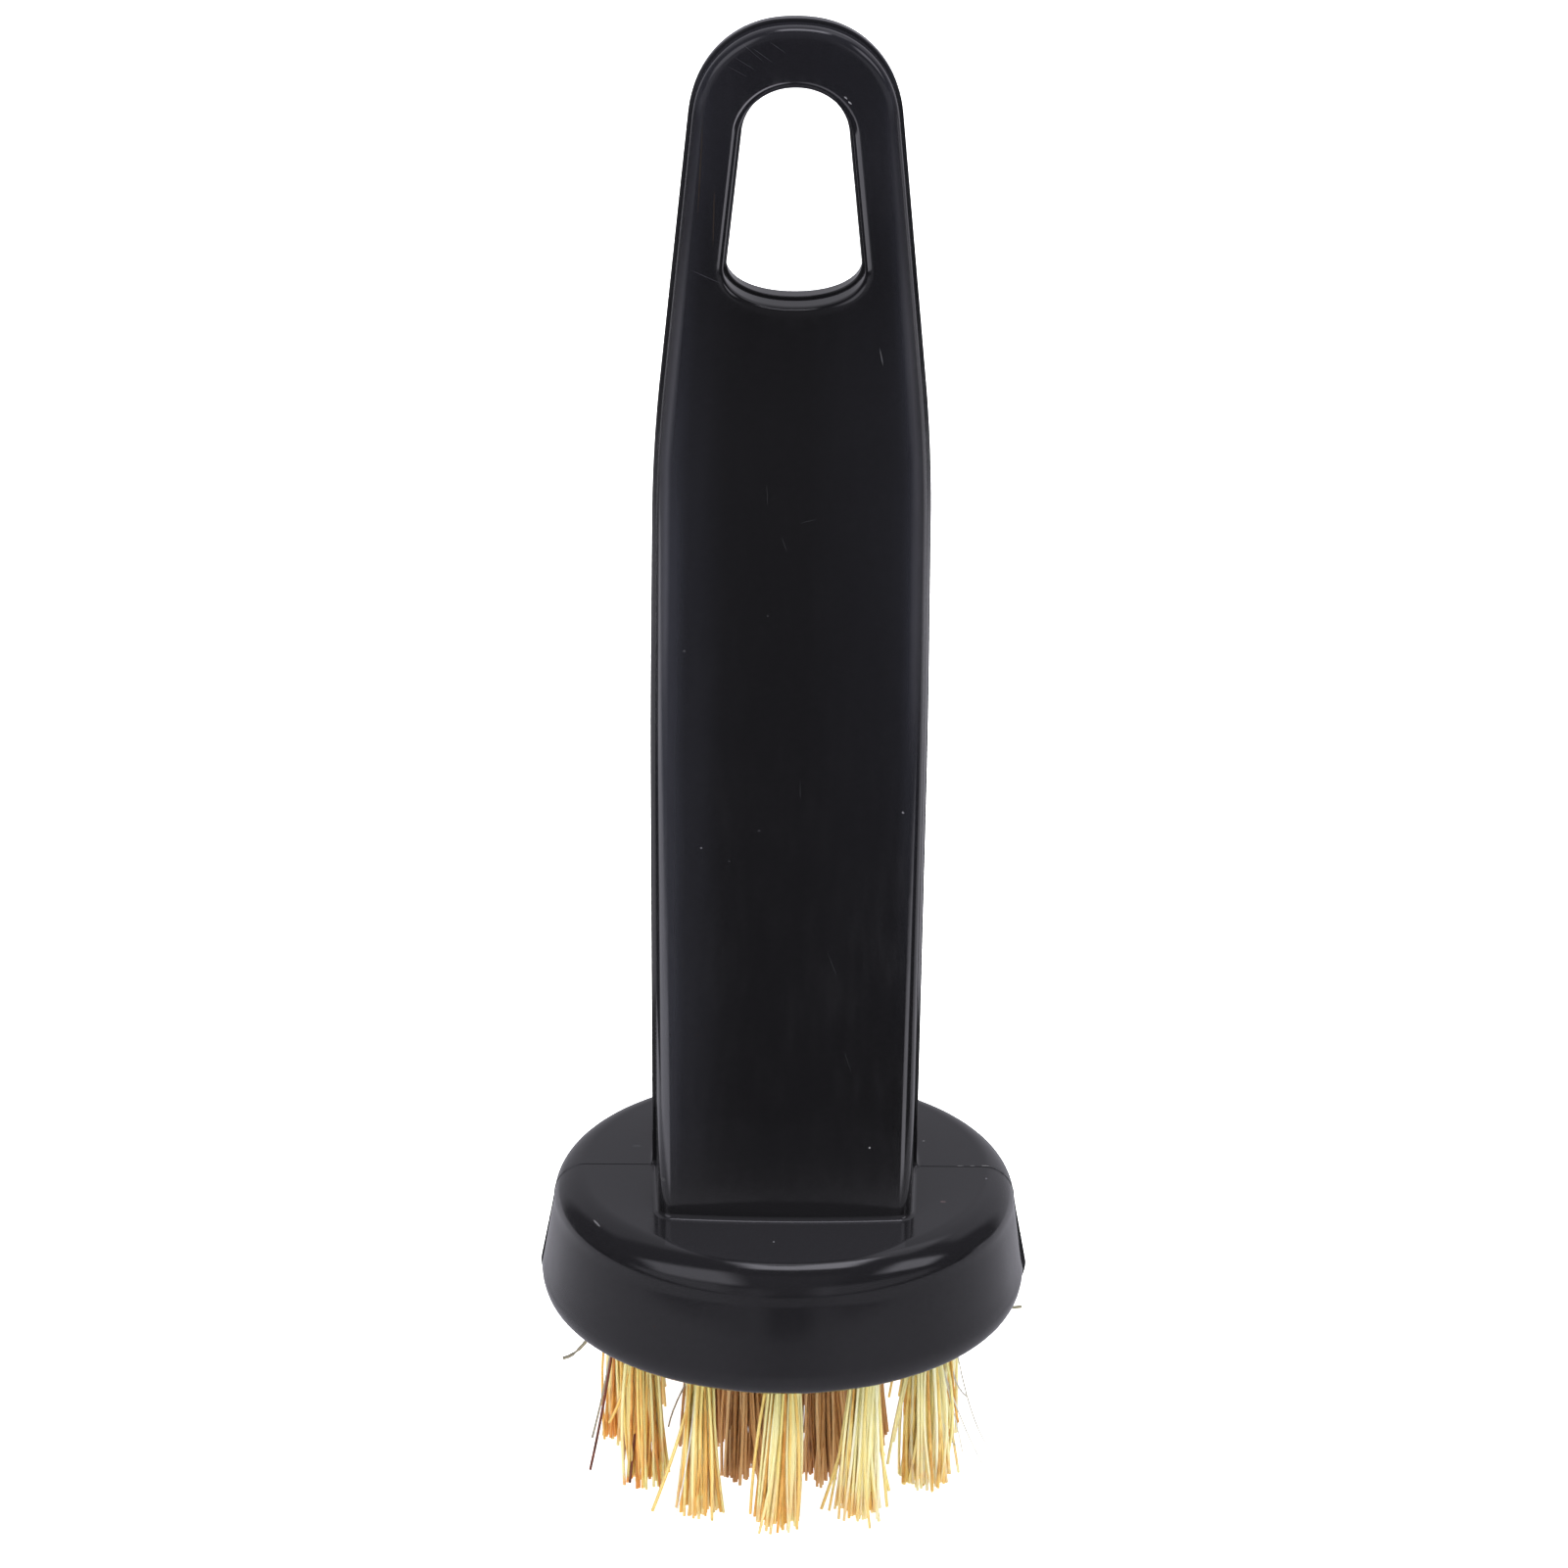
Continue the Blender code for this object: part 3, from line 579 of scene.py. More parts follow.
def half_thickness(z):
    """From the parting plane to the edge of the broad face: a wedge that levels off at the waist."""
    if z <= 0:
        return THICKNESS_TRACK[0][1]
    for low, high in zip(THICKNESS_TRACK, THICKNESS_TRACK[1:]):
        if z <= high[0]:
            break
    return line_at(low, high, z)


def along_handle(at_foot, at_end, z):
    return at_foot + (at_end - at_foot) * z / HANDLE_HEIGHT


def crowning(x):
    reach = HANDLE_BELLY_WIDTH / 2 - PARTING_STEP - EDGE_ROUND_WIDTH_AT_FOOT
    return 1 + HANDLE_CROWN / (HANDLE_FOOT_THICKNESS / 2) * max(0, 1 - (x / reach) ** 2)


def edge_round(z):
    width = along_handle(EDGE_ROUND_WIDTH_AT_FOOT, EDGE_ROUND_WIDTH_AT_END, z)
    return width, along_handle(EDGE_ROUND_DEPTH_AT_FOOT, EDGE_ROUND_DEPTH_AT_END, z)


def slot_round(z):
    return SLOT_ROUND_WIDTH, SLOT_ROUND_DEPTH


def ledge_station(turn):
    """A point on the rounded outer corner of the rear half's ledge."""
    return lambda z: (LEDGE_ROUND * (1 - math.sin(turn)), LEDGE_ROUND * (1 - math.cos(turn)))


def wall_station(step, rounding, share):
    def place(z):
        straight = half_thickness(z) - rounding(z)[1]
        return step + DRAFT_SHARE * straight * share, straight * share

    return place


def bend_station(step, rounding, turn):
    def place(z):
        width, depth = rounding(z)
        straight = half_thickness(z) - depth
        inset = step + DRAFT_SHARE * straight + width * (1 - math.cos(turn))
        return inset, straight + depth * math.sin(turn)

    return place


def wall_stations(step, rounding, segments, ledge):
    """Functions of height that give (inset, depth), from the parting line out to the broad face."""
    if ledge:
        turns = [math.pi / 2 * index / LEDGE_SEGMENTS for index in range(LEDGE_SEGMENTS + 1)]
        stations = [ledge_station(turn) for turn in turns]
    else:
        stations = [wall_station(step, rounding, 0)]
    for index in range(1, WALL_SEGMENTS + 1):
        stations.append(wall_station(step, rounding, index / WALL_SEGMENTS))
    for index in range(1, segments + 1):
        stations.append(bend_station(step, rounding, math.pi / 2 * index / segments))
    return stations


def wall_ring(bm, outline, station, facing, direction, closed):
    distances = [direction * station(z)[0] for x, z in outline]
    ring = []
    for x, z in shifted(outline, distances, closed):
        ring.append(bm.verts.new((x, facing * station(z)[1] * crowning(x), z)))
    return ring


def wall_rings(bm, outline, step, rounding, segments, direction, closed):
    """Rings of a wall from the rear face, over the parting ledge, to the front face."""
    rings = []
    for station in reversed(wall_stations(0, rounding, segments, True)):
        rings.append(wall_ring(bm, outline, station, 1, direction, closed))
    for station in wall_stations(step, rounding, segments, False):
        rings.append(wall_ring(bm, outline, station, -1, direction, closed))
    return rings


def skin(bm, rings, closed):
    for first, second in zip(rings, rings[1:]):
        count = len(first)
        for index in range(count if closed else count - 1):
            after = (index + 1) % count
            bm.faces.new((first[index], first[after], second[after], second[index]))


def loop_edges(bm, ring):
    edges = []
    for index, vert in enumerate(ring):
        after = ring[(index + 1) % len(ring)]
        edges.append(bm.edges.get((vert, after)) or bm.edges.new((vert, after)))
    return edges


def crowned_face(bm, outer_ring, inner_ring, facing):
    """The broad face between the outer edge and the slot, cut into a grid that follows its curves."""
    rims = loop_edges(bm, outer_ring) + loop_edges(bm, inner_ring)
    filled = bmesh.ops.triangle_fill(bm, edges=rims, use_beauty=True)["geom"]
    faces = {item for item in filled if isinstance(item, bmesh.types.BMFace)}
    widest = max(vert.co.x for vert in outer_ring)
    cuts = []
    for column in range(1, FACE_COLUMNS):
        cuts.append(((widest * (2 * column / FACE_COLUMNS - 1), 0, 0), (1, 0, 0)))
    for row in range(1, RUN_SEGMENTS):
        cuts.append(((0, 0, HANDLE_HEIGHT * row / RUN_SEGMENTS), (0, 0, 1)))
    for place, normal in cuts:
        edges = {edge for face in faces for edge in face.edges}
        verts = {vert for face in faces for vert in face.verts}
        whole = list(faces) + list(edges) + list(verts)
        cut = bmesh.ops.bisect_plane(bm, geom=whole, dist=FACE_CUT_SNAP, plane_co=place, plane_no=normal)
        faces = {item for item in cut["geom"] if isinstance(item, bmesh.types.BMFace)}
    for vert in {vert for face in faces for vert in face.verts}:
        vert.co.y = facing * half_thickness(vert.co.z) * crowning(vert.co.x)


def handle_mesh():
    bm = bmesh.new()
    outer = wall_rings(bm, handle_outline(), PARTING_STEP, edge_round, EDGE_ROUND_SEGMENTS, 1, False)
    inner = wall_rings(bm, slot_outline(), SLOT_STEP, slot_round, SLOT_ROUND_SEGMENTS, -1, True)
    skin(bm, outer, False)
    skin(bm, inner, True)
    bm.faces.new([ring[0] for ring in outer] + [ring[-1] for ring in outer][::-1])
    crowned_face(bm, outer[0], inner[0], 1)
    crowned_face(bm, outer[-1], inner[-1], -1)
    bmesh.ops.translate(bm, verts=bm.verts[:], vec=(0, 0, HEAD_TOP))
    return bm


def foot_section(height, growth):
    """The handle's plan at a height above the head, grown outwards, as (x, y) points."""
    halves = []
    for facing, step, ledge in ((1, 0, True), (-1, PARTING_STEP, False)):
        side = []
        for station in wall_stations(step, edge_round, EDGE_ROUND_SEGMENTS, ledge):
            inset, depth = station(height)
            x = HANDLE_FOOT_WIDTH / 2 - inset
            side.append((x, facing * depth * crowning(x)))
        halves.append(side)
    rear, front = halves
    right = list(reversed(rear)) + front
    left = [(-x, y) for x, y in reversed(right)]
    across = [1 - 2 * column / FACE_COLUMNS for column in range(1, FACE_COLUMNS)]
    depth = half_thickness(height)
    front_face = [(x, -depth * crowning(x)) for x in (right[-1][0] * share for share in across)]
    rear_face = [(-x, depth * crowning(x)) for x in (right[0][0] * share for share in across)]
    section = right + front_face + left + rear_face
    return shifted(section, [growth] * len(section), True)


def foot_fillet_mesh():
    """A small concave fillet between the handle and the top of the head."""
    bm = bmesh.new()
    rings = []
    for step in range(FILLET_SEGMENTS + 1):
        turn = math.pi / 2 * step / FILLET_SEGMENTS
        height = HANDLE_FOOT_FILLET * (1 - math.cos(turn))
        growth = HANDLE_FOOT_FILLET * (1 - math.sin(turn))
        rings.append([bm.verts.new((x, y, HEAD_TOP + height)) for x, y in foot_section(height, growth)])
    skin(bm, rings, True)
    return bm


# The head


def head_profile():
    """(height, radius) points from the edge of the flat top, round the rim and down under the head."""
    widest = HEAD_DIAMETER / 2
    shoulder = widest - HEAD_SIDE_FLARE
    profile = []
    for step in range(RIM_SEGMENTS + 1):
        turn = math.pi / 2 * step / RIM_SEGMENTS
        radius = shoulder - HEAD_RIM_ROUND * (1 - math.sin(turn))
        profile.append((HEAD_TOP - HEAD_RIM_DEPTH * (1 - math.cos(turn)), radius))
    low = HEAD_BOTTOM + HEAD_UNDERCUT_DEPTH
    profile += divided([profile.pop(), (low, widest)], HEAD_THICKNESS / RIM_SEGMENTS)[:-1]
    for step in range(UNDERCUT_SEGMENTS + 1):
        turn = math.pi / 2 * step / UNDERCUT_SEGMENTS
        radius = widest - HEAD_UNDERCUT_WIDTH * (1 - math.cos(turn))
        profile.append((HEAD_BOTTOM + HEAD_UNDERCUT_DEPTH * (1 - math.sin(turn)), radius))
    return profile


def step_share(height):
    """The parting steps grow from nothing at the rim to their full size on the lower side."""
    return min(1, max(0, (HEAD_TOP - HEAD_RIM_DEPTH - height) / (HEAD_THICKNESS * STEP_GROWTH_SHARE)))


def head_ring(bm, radius, height):
    """One turn of the head, with the front half drawn in sideways by its parting steps."""
    half = HEAD_SEGMENTS // 2
    ring = []
    grown = step_share(height)
    for facing, left, right in ((1, 0, 0), (-1, HEAD_STEP_LEFT * grown, HEAD_STEP_RIGHT * grown)):
        squeeze = 1 - (left + right) / (2 * radius)
        for index in range(half + 1):
            turn = math.pi * index / half
            x = facing * radius * math.cos(turn) * squeeze + (left - right) / 2
            y = facing * radius * math.sin(turn) if 0 < index < half else 0
            ring.append(bm.verts.new((x, y, height)))
    return ring


def tuft_places():
    """(name ending, x, y, direction) of each tuft, from the front round each ring."""
    places = []
    for ring, radius, count in (
        ("outer", OUTER_RING_RADIUS, OUTER_TUFTS),
        ("inner", INNER_RING_RADIUS, INNER_TUFTS),
    ):
        offset = 0 if ring == "outer" else math.pi / count
        for index in range(count):
            turn = 2 * math.pi * index / count + offset - math.pi / 2
            x = radius * math.cos(turn)
            y = radius * math.sin(turn)
            places.append((f"{ring}_{index + 1:02d}", x, y, turn))
    places.append(("centre", 0, 0, 0))
    return places


def head_mesh():
    """The round head with the blind holes of the tufts."""
    bm = bmesh.new()
    rings = [head_ring(bm, radius, height) for height, radius in head_profile()]
    skin(bm, rings, True)
    bm.faces.new(rings[0])
    rims = loop_edges(bm, rings[-1])
    for name, x, y, turn in tuft_places():
        mouth, end = [], []
        for index in range(HOLE_SIDES):
            around = 2 * math.pi * index / HOLE_SIDES
            at_x = x + TUFT_HOLE_DIAMETER / 2 * math.cos(around)
            at_y = y + TUFT_HOLE_DIAMETER / 2 * math.sin(around)
            mouth.append(bm.verts.new((at_x, at_y, HEAD_BOTTOM)))
            end.append(bm.verts.new((at_x, at_y, HEAD_BOTTOM + TUFT_HOLE_DEPTH)))
        rims += loop_edges(bm, mouth)
        skin(bm, [mouth, end], True)
        bm.faces.new(end)
    bmesh.ops.triangle_fill(bm, edges=rims, use_beauty=True)
    return bm


def tube(bm, path, radius, sides):
    """A thin tube along a path of points."""
    rings = []
    for index, point in enumerate(path):
        before = path[max(0, index - 1)]
        after = path[min(len(path) - 1, index + 1)]
        travel = (after - before).normalized()
        across = travel.orthogonal().normalized()
        up = travel.cross(across)
        ring = []
        for side in range(sides):
            turn = 2 * math.pi * side / sides
            ring.append(bm.verts.new(point + (across * math.cos(turn) + up * math.sin(turn)) * radius))
        rings.append(ring)
    skin(bm, rings, True)
    bm.faces.new(rings[0])
    bm.faces.new(rings[-1])


def seam_mesh():
    """The fine ridge that the mould's halves leave over the top of the head and down its sides."""
    bm = bmesh.new()
    profile = head_profile()
    for side, step in ((1, HEAD_STEP_RIGHT), (-1, HEAD_STEP_LEFT)):
        path = [Vector((side * HANDLE_FOOT_WIDTH / 2, 0, HEAD_TOP))]
        for height, radius in profile:
            path.append(Vector((side * (radius - step / 2 * step_share(height)), 0, height)))
        tube(bm, path, SEAM_RIDGE, RIDGE_SIDES)
    return bm


# Wires


def bent_wire(root, middle, tip):
    """Points of a wire that starts at its root, passes the middle point and ends at the tip."""
    points = []
    for index in range(STRAY_POINTS):
        t = index / (STRAY_POINTS - 1)
        weights = ((1 - t) * (1 - 2 * t), 4 * t * (1 - t), t * (2 * t - 1))
        points.append(root * weights[0] + middle * weights[1] + tip * weights[2])
    return points


def stray_mesh(kind):
    """The single wires of one kind that stick out of their tufts."""
    bm = bmesh.new()
    tone = bm.verts.layers.float.new("tone")
    reach = bm.verts.layers.float.new("reach")
    roots = {name: (x, y) for name, x, y, turn in tuft_places()}
    chosen = [stray for stray in STRAYS if stray[0] == kind]
    for number, stray in enumerate(chosen):
        tuft, thickness, middle, tip = stray[1:]
        before = len(bm.verts)
        root = Vector((*roots[tuft], HEAD_BOTTOM + WIRE_START_DEPTH / 2))
        path = bent_wire(root, Vector(metres(middle)), Vector(metres(tip)))
        tube(bm, path, WIRE_DIAMETER / 2 * thickness, WIRE_SIDES)
        bm.verts.ensure_lookup_table()
        for vert in bm.verts[before:]:
            vert[tone] = (number + 0.5) / len(chosen)
            vert[reach] = 1 - vert.co.z / HEAD_BOTTOM
    return bm


def wire_path(tuft, number, rng):
    """Points of one wire from inside its hole to its tip."""
    filled = math.sqrt((number + 0.5) / WIRES_IN_TUFT)
    packed = (TUFT_HOLE_DIAMETER - WIRE_DIAMETER) / 2 * PACKED_SHARE * filled
    around = number * math.pi * (3 - math.sqrt(5)) + rng.uniform(-1, 1) * WIRE_TURN
    root = Vector((math.cos(around), math.sin(around))) * packed
    outward = Vector((math.cos(around), math.sin(around)))
    share = packed / (TUFT_HOLE_DIAMETER / 2)
    lean = Vector((math.cos(tuft[3]), math.sin(tuft[3]))) * (TUFT_LEAN if tuft[0] != "centre" else 0)
    lean.x += SIDE_LEANS.get(tuft[0], 0)
    mess = TUFT_MESS.get(tuft[0], 1)
    wander = Vector((rng.gauss(0, 1), rng.gauss(0, 1))) * WIRE_WANDER * mess
    spread = outward * share * (TUFT_TIP_DIAMETER - TUFT_HOLE_DIAMETER) / 2
    if rng.random() < STRAY_SHARE:
        wander += outward * rng.uniform(0, STRAY_REACH)
    drift = spread + lean + wander
    bow = Vector((rng.gauss(0, 1), rng.gauss(0, 1))) * WIRE_BOW * mess
    tip = abs(rng.gauss(0, 1)) * TIP_RAGGEDNESS / 2 * (0.5 + share / 2)
    points = []
    top = HEAD_BOTTOM + WIRE_START_DEPTH
    for index in range(WIRE_POINTS):
        t = index / (WIRE_POINTS - 1)
        height = top + (tip - top) * t
        fallen = max(0, (HEAD_BOTTOM - height) / HEAD_BOTTOM)
        flat = root + drift * fallen ** WIRE_DRIFT_POWER + bow * math.sin(math.pi * fallen)
        points.append(Vector((tuft[1] + flat.x, tuft[2] + flat.y, height)))
    return points


def tuft_mesh(tuft, rng):
    """The wires of one tuft, with each wire's tone and how far down each point lies, for the material."""
    bm = bmesh.new()
    tone = bm.verts.layers.float.new("tone")
    reach = bm.verts.layers.float.new("reach")
    for number in range(WIRES_IN_TUFT):
        before = len(bm.verts)
        path = wire_path(tuft, number, rng)
        tube(bm, path, WIRE_DIAMETER / 2 * rng.uniform(*WIRE_THICKNESS_SHARES), WIRE_SIDES)
        bm.verts.ensure_lookup_table()
        value = rng.random()
        for vert in bm.verts[before:]:
            vert[tone] = value
            vert[reach] = 1 - vert.co.z / HEAD_BOTTOM
    return bm


# Materials


class Graph:
    """The shader nodes of one material or of the world, strung together by short calls."""

    def __init__(self, tree):
        self.nodes = tree.nodes
        self.links = tree.links

    def give(self, node, place, value):
        """Feeds an input from another node's output, or sets it to a plain value."""
        if isinstance(value, bpy.types.NodeSocket):
            self.links.new(value, node.inputs[place])
        else:
            node.inputs[place].default_value = value

    def add(self, kind, output, inputs, **settings):
        """The named output of a new node of a kind."""
        made = self.nodes.new(f"ShaderNode{kind}")
        for name, value in settings.items():
            setattr(made, name, value)
        for place, value in inputs.items():
            self.give(made, place, value)
        return made.outputs[output]

    def place(self, kind="Object"):
        return self.add("TexCoord", kind, {})

    def split(self, vector):
        made = self.nodes.new("ShaderNodeSeparateXYZ")
        self.give(made, "Vector", vector)
        return made.outputs["X"], made.outputs["Y"], made.outputs["Z"]

    def math(self, operation, *values):
        return self.add("Math", "Value", dict(enumerate(values)), operation=operation)

    def ranged(self, value, source, target, passage="LINEAR"):
        inputs = {"Value": value}
        for name, (low, high) in (("From", source), ("To", target)):
            inputs[f"{name} Min"] = low
            inputs[f"{name} Max"] = high
        return self.add("MapRange", "Result", inputs, interpolation_type=passage)

    def step(self, value, start, end):
        """0 before start and 1 after end, with a smooth passage."""
        return self.ranged(value, (start, end), (0, 1), "SMOOTHSTEP")

    def window(self, value, low, high, soft):
        """1 between low and high, and 0 outside, with smooth ends."""
        rise = self.step(value, low - soft, low + soft)
        fall = self.step(value, high + soft, high - soft)
        return self.math("MULTIPLY", rise, fall)

    def noise(self, vector, scale, detail=4.0):
        return self.add("TexNoise", "Fac", {"Scale": scale, "Detail": detail, "Vector": vector})

    def streaked(self, vector, along):
        """The place with its height shrunk to the share along, so that noise on it is drawn out upwards."""
        return self.add("Mapping", "Vector", {"Scale": (1.0, 1.0, along), "Vector": vector})

    def ramp(self, value, stops):
        made = self.nodes.new("ShaderNodeValToRGB")
        elements = made.color_ramp.elements
        for element, (position, tint) in zip(elements, (stops[0], stops[-1])):
            element.position, element.color = position, (*tint, 1)
        for position, tint in stops[1:-1]:
            elements.new(position).color = (*tint, 1)
        self.give(made, "Fac", value)
        return made.outputs["Color"]

    def curve(self, value, low, high, points, most):
        """A share of most that follows the (value, amount) points from low to high."""
        level = self.math("DIVIDE", self.math("SUBTRACT", value, low), high - low)
        stops = [((at - low) / (high - low), (amount / most,) * 3) for at, amount in points]
        return self.ramp(level, stops)

    def blend(self, share, first, tint, kind="MIX"):
        """The first colour, giving way to the tint, or multiplied by it, where the share is 1."""
        inputs = {"Factor": share, "A": first, "B": (*tint, 1)}
        return self.add("Mix", "Result", inputs, data_type="RGBA", blend_type=kind)

    def plus(self, first, second):
        return self.add("VectorMath", "Vector", {0: first, 1: second}, operation="ADD")

    def tinted(self, tint, amount):
        return self.add("VectorMath", "Vector", {0: tint, "Scale": amount}, operation="SCALE")

    def length(self, vector):
        return self.add("VectorMath", "Value", {0: vector}, operation="LENGTH")

    def bump(self, height, strength, distance, **below):
        inputs = {"Strength": strength, "Distance": distance, "Height": height}
        return self.add("Bump", "Normal", {**inputs, **below})


def material(name, values):
    """A new material with plain values on its shader, the graph of its nodes and the shader."""
    made = bpy.data.materials.new(name)
    made.use_nodes = True
    shader = made.node_tree.nodes["Principled BSDF"]
    for place, value in values.items():
        shader.inputs[place].default_value = value
    return made, Graph(made.node_tree), shader


def painted_sheen_colours(graph, place, x, z):
    """Painted sheen on the handle's broad faces and lighter painted highlights on its long edges, uneven in
    long streaks.
    """
    widths = (
        (HEAD_TOP, HANDLE_FOOT_WIDTH),
        (HEAD_TOP + HANDLE_BELLY_HEIGHT, HANDLE_BELLY_WIDTH),
        (HEAD_TOP + HANDLE_SHOULDER_HEIGHT, HANDLE_SHOULDER_WIDTH),
        (HEAD_TOP + END_START, HANDLE_END_WIDTH),
    )
    width = graph.curve(z, 0.0, BRUSH_HEIGHT, widths, HANDLE_SHOULDER_WIDTH * 2)
    across = graph.math("DIVIDE", x, graph.math("MULTIPLY", width, HANDLE_SHOULDER_WIDTH))
    amounts = []
    for points, heights in PAINTED_SHEENS:
        beside = graph.curve(across, -1.0, 1.0, points, SHEEN_MOST)
        share = graph.curve(z, 0.0, BRUSH_HEIGHT, heights, SHEEN_HEIGHT_MOST)
        amounts.append(graph.math("MULTIPLY", beside, share))
    left, right, edges = amounts
    streaks = graph.noise(graph.streaked(place, SHEEN_STREAK_SHARE), SHEEN_STREAK_SCALE)
    uneven = graph.math("MULTIPLY_ADD", streaks, SHEEN_UNEVENNESS, SHEEN_EVENNESS)
    most = graph.math("MULTIPLY", uneven, SHEEN_MOST * SHEEN_HEIGHT_MOST)
    sides = graph.math("MULTIPLY", graph.math("ADD", left, right), most)
    edges = graph.math("MULTIPLY", edges, most)
    return graph.tinted(SHEEN_TINT, sides), graph.tinted(EDGE_HIGHLIGHT_TINT, edges)


def reflected_face_share(graph, x, y, z):
    """1 on the flat top of the head in front of the handle's foot, where the painted reflection of the
    handle's front face lies.
    """
    aside = graph.step(graph.math("ABSOLUTE", x), REFLECTED_FACE_SIDE + REFLECTED_FACE_EDGE, REFLECTED_FACE_SIDE)
    ahead = graph.step(graph.math("MULTIPLY", y, -1.0), REFLECTED_FACE_BACK, REFLECTED_FACE_BACK + REFLECTED_FACE_EDGE)
    on_top = graph.step(z, HEAD_TOP - REFLECTED_FACE_EDGE, HEAD_TOP - REFLECTED_FACE_EDGE / 2)
    low_enough = graph.step(z, HEAD_TOP + REFLECTED_FACE_EDGE * 2, HEAD_TOP + REFLECTED_FACE_EDGE)
    flat = graph.math("MULTIPLY", aside, ahead)
    return graph.math("MULTIPLY", flat, graph.math("MULTIPLY", on_top, low_enough))


def marked(graph, place, colour, marks, upright):
    """The colour with small marks of use on upright faces or on level ones."""
    for centre, size, turn, tint in marks:
        long, across = metres(size)
        spot = {
            "Location": metres(centre),
            "Rotation": (0, -turn, 0) if upright else (0, 0, turn),
            "Scale": (long, MARK_DEPTH, across) if upright else (long, across, MARK_DEPTH),
            "Vector": place,
        }
        away = graph.length(graph.add("Mapping", "Vector", spot, vector_type="TEXTURE"))
        colour = graph.blend(graph.step(away, *MARK_EDGE), colour, tint)
    return colour


def plastic_material():
    """Glossy black moulded plastic: tints, painted sheen, highlights and reflections, and marks of use, over
    faint flow streaks and soft waves.
    """
    made, graph, shader = material("black_moulded_plastic", {"IOR": PLASTIC_IOR})
    place = graph.place()
    x, y, z = graph.split(place)
    stops = [((HEAD_TOP + height) / BRUSH_HEIGHT, tint) for height, tint in PLASTIC_TINTS]
    colour = graph.ramp(graph.math("DIVIDE", z, BRUSH_HEIGHT), stops)
    # Painted reflection: the handle's front face, mirrored lighter on the head's top in front of it
    colour = graph.blend(reflected_face_share(graph, x, y, z), colour, REFLECTED_FACE_TINT)
    # Painted sheen and painted edge highlights are added to the colour
    for sheen in painted_sheen_colours(graph, place, x, z):
        colour = graph.plus(colour, sheen)
    colour = marked(graph, place, colour, FACE_MARKS, True)
    colour = marked(graph, place, colour, HEAD_MARKS, False)
    graph.give(shader, "Base Color", colour)
    streaks = graph.noise(graph.streaked(place, STREAK_SHARE), STREAK_SCALE, STREAK_DETAIL)
    waves = graph.noise(place, WAVE_SCALE, WAVE_DETAIL)
    mixed = graph.math("MULTIPLY", streaks, waves)
    graph.give(shader, "Roughness", graph.ranged(mixed, PLASTIC_ROUGHNESS_NOISE, PLASTIC_ROUGHNESS))
    fine = graph.bump(streaks, *STREAK_BUMP)
    graph.give(shader, "Normal", graph.bump(waves, *WAVE_BUMP, Normal=fine))
    return made


def wire_material(name, stops, tip_tint, tip_share):
    """Drawn wire: a colour for each wire, darkened by painted shade near the head, and another in patches
    towards its cut tip.
    """
    made, graph, shader = material(name, {"Metallic": WIRE_METALLIC, "Roughness": WIRE_ROUGHNESS})
    tone = graph.add("Attribute", "Fac", {}, attribute_name="tone")
    reach = graph.add("Attribute", "Fac", {}, attribute_name="reach")
    patches = graph.noise(graph.place(), WIRE_PATCH_SCALE, WIRE_PATCH_DETAIL)
    uneven = graph.math("MULTIPLY_ADD", patches, WIRE_PATCH_SHARE, tone)
    colour = graph.ramp(graph.math("SUBTRACT", uneven, WIRE_PATCH_SHARE / 2), stops)
    # Painted shade: the wires darken towards the head, which shades them
    colour = graph.blend(graph.step(reach, *WIRE_SHADE_REACH), colour, WIRE_SHADE_TINT, "MULTIPLY")
    worn = graph.math("MULTIPLY", graph.step(reach, *WIRE_WORN_REACH), tip_share)
    worn = graph.math("MULTIPLY", worn, graph.step(patches, *WIRE_WORN_PATCHES))
    graph.give(shader, "Base Color", graph.blend(worn, colour, tip_tint))
    return made


def steel_material():
    made, graph, shader = material("anchor_strip_steel", {"Base Color": (*STEEL_TINT, 1), "Metallic": 1.0})
    grain = graph.noise(graph.place(), STEEL_GRAIN_SCALE)
    graph.give(shader, "Roughness", graph.ranged(grain, (0, 1), STEEL_ROUGHNESS))
    return made


def glow_material(name, base, roughness, strength):
    """A surface that gives off plain white light."""
    values = {
        "Base Color": (base, base, base, 1),
        "Roughness": roughness,
        "Emission Color": (1, 1, 1, 1),
        "Emission Strength": strength,
    }
    return material(name, values)[0]


def table_glow_material():
    """The table as the plastic mirrors it: an even glow near by, and beyond that one by direction."""
    values = {"Base Color": (0, 0, 0, 1), "Specular IOR Level": 0.0, "Emission Color": (*ROOM_TINT, 1)}
    made, graph, shader = material("table_glow", values)
    place = graph.place()
    x, y, z = graph.split(place)
    side = graph.math("ARCTAN2", x, graph.math("MULTIPLY", y, -1.0))
    share = graph.math("MULTIPLY_ADD", side, 1 / (2 * math.pi), 0.5)
    around = graph.ramp(share, [((turn + 180) / 360, (glow,) * 3) for turn, glow in TABLE_GLOW])
    near, far = DISH_PASSAGE_SHARES
    beyond = graph.step(graph.length(place), DISH_RADIUS * near, DISH_RADIUS * far)
    glow = graph.add("Mix", "Result", {"Factor": beyond, "A": TABLE_GLOW_NEAR, "B": around})
    graph.give(shader, "Emission Strength", glow)
    graph.give(shader, "Alpha", graph.step(z, DISH_WALL, DISH_WALL - DISH_WALL_FADE))
    return made


# Pieces


def object_from(name, bm, surface, crease_degrees=PLASTIC_CREASE):
    bmesh.ops.recalc_face_normals(bm, faces=bm.faces[:])
    mesh = bpy.data.meshes.new(name)
    bm.to_mesh(mesh)
    bm.free()
    mesh.shade_smooth()
    mesh.set_sharp_from_angle(angle=math.radians(crease_degrees))
    mesh.materials.append(surface)
    made = bpy.data.objects.new(name, mesh)
    bpy.context.scene.collection.objects.link(made)
    return made


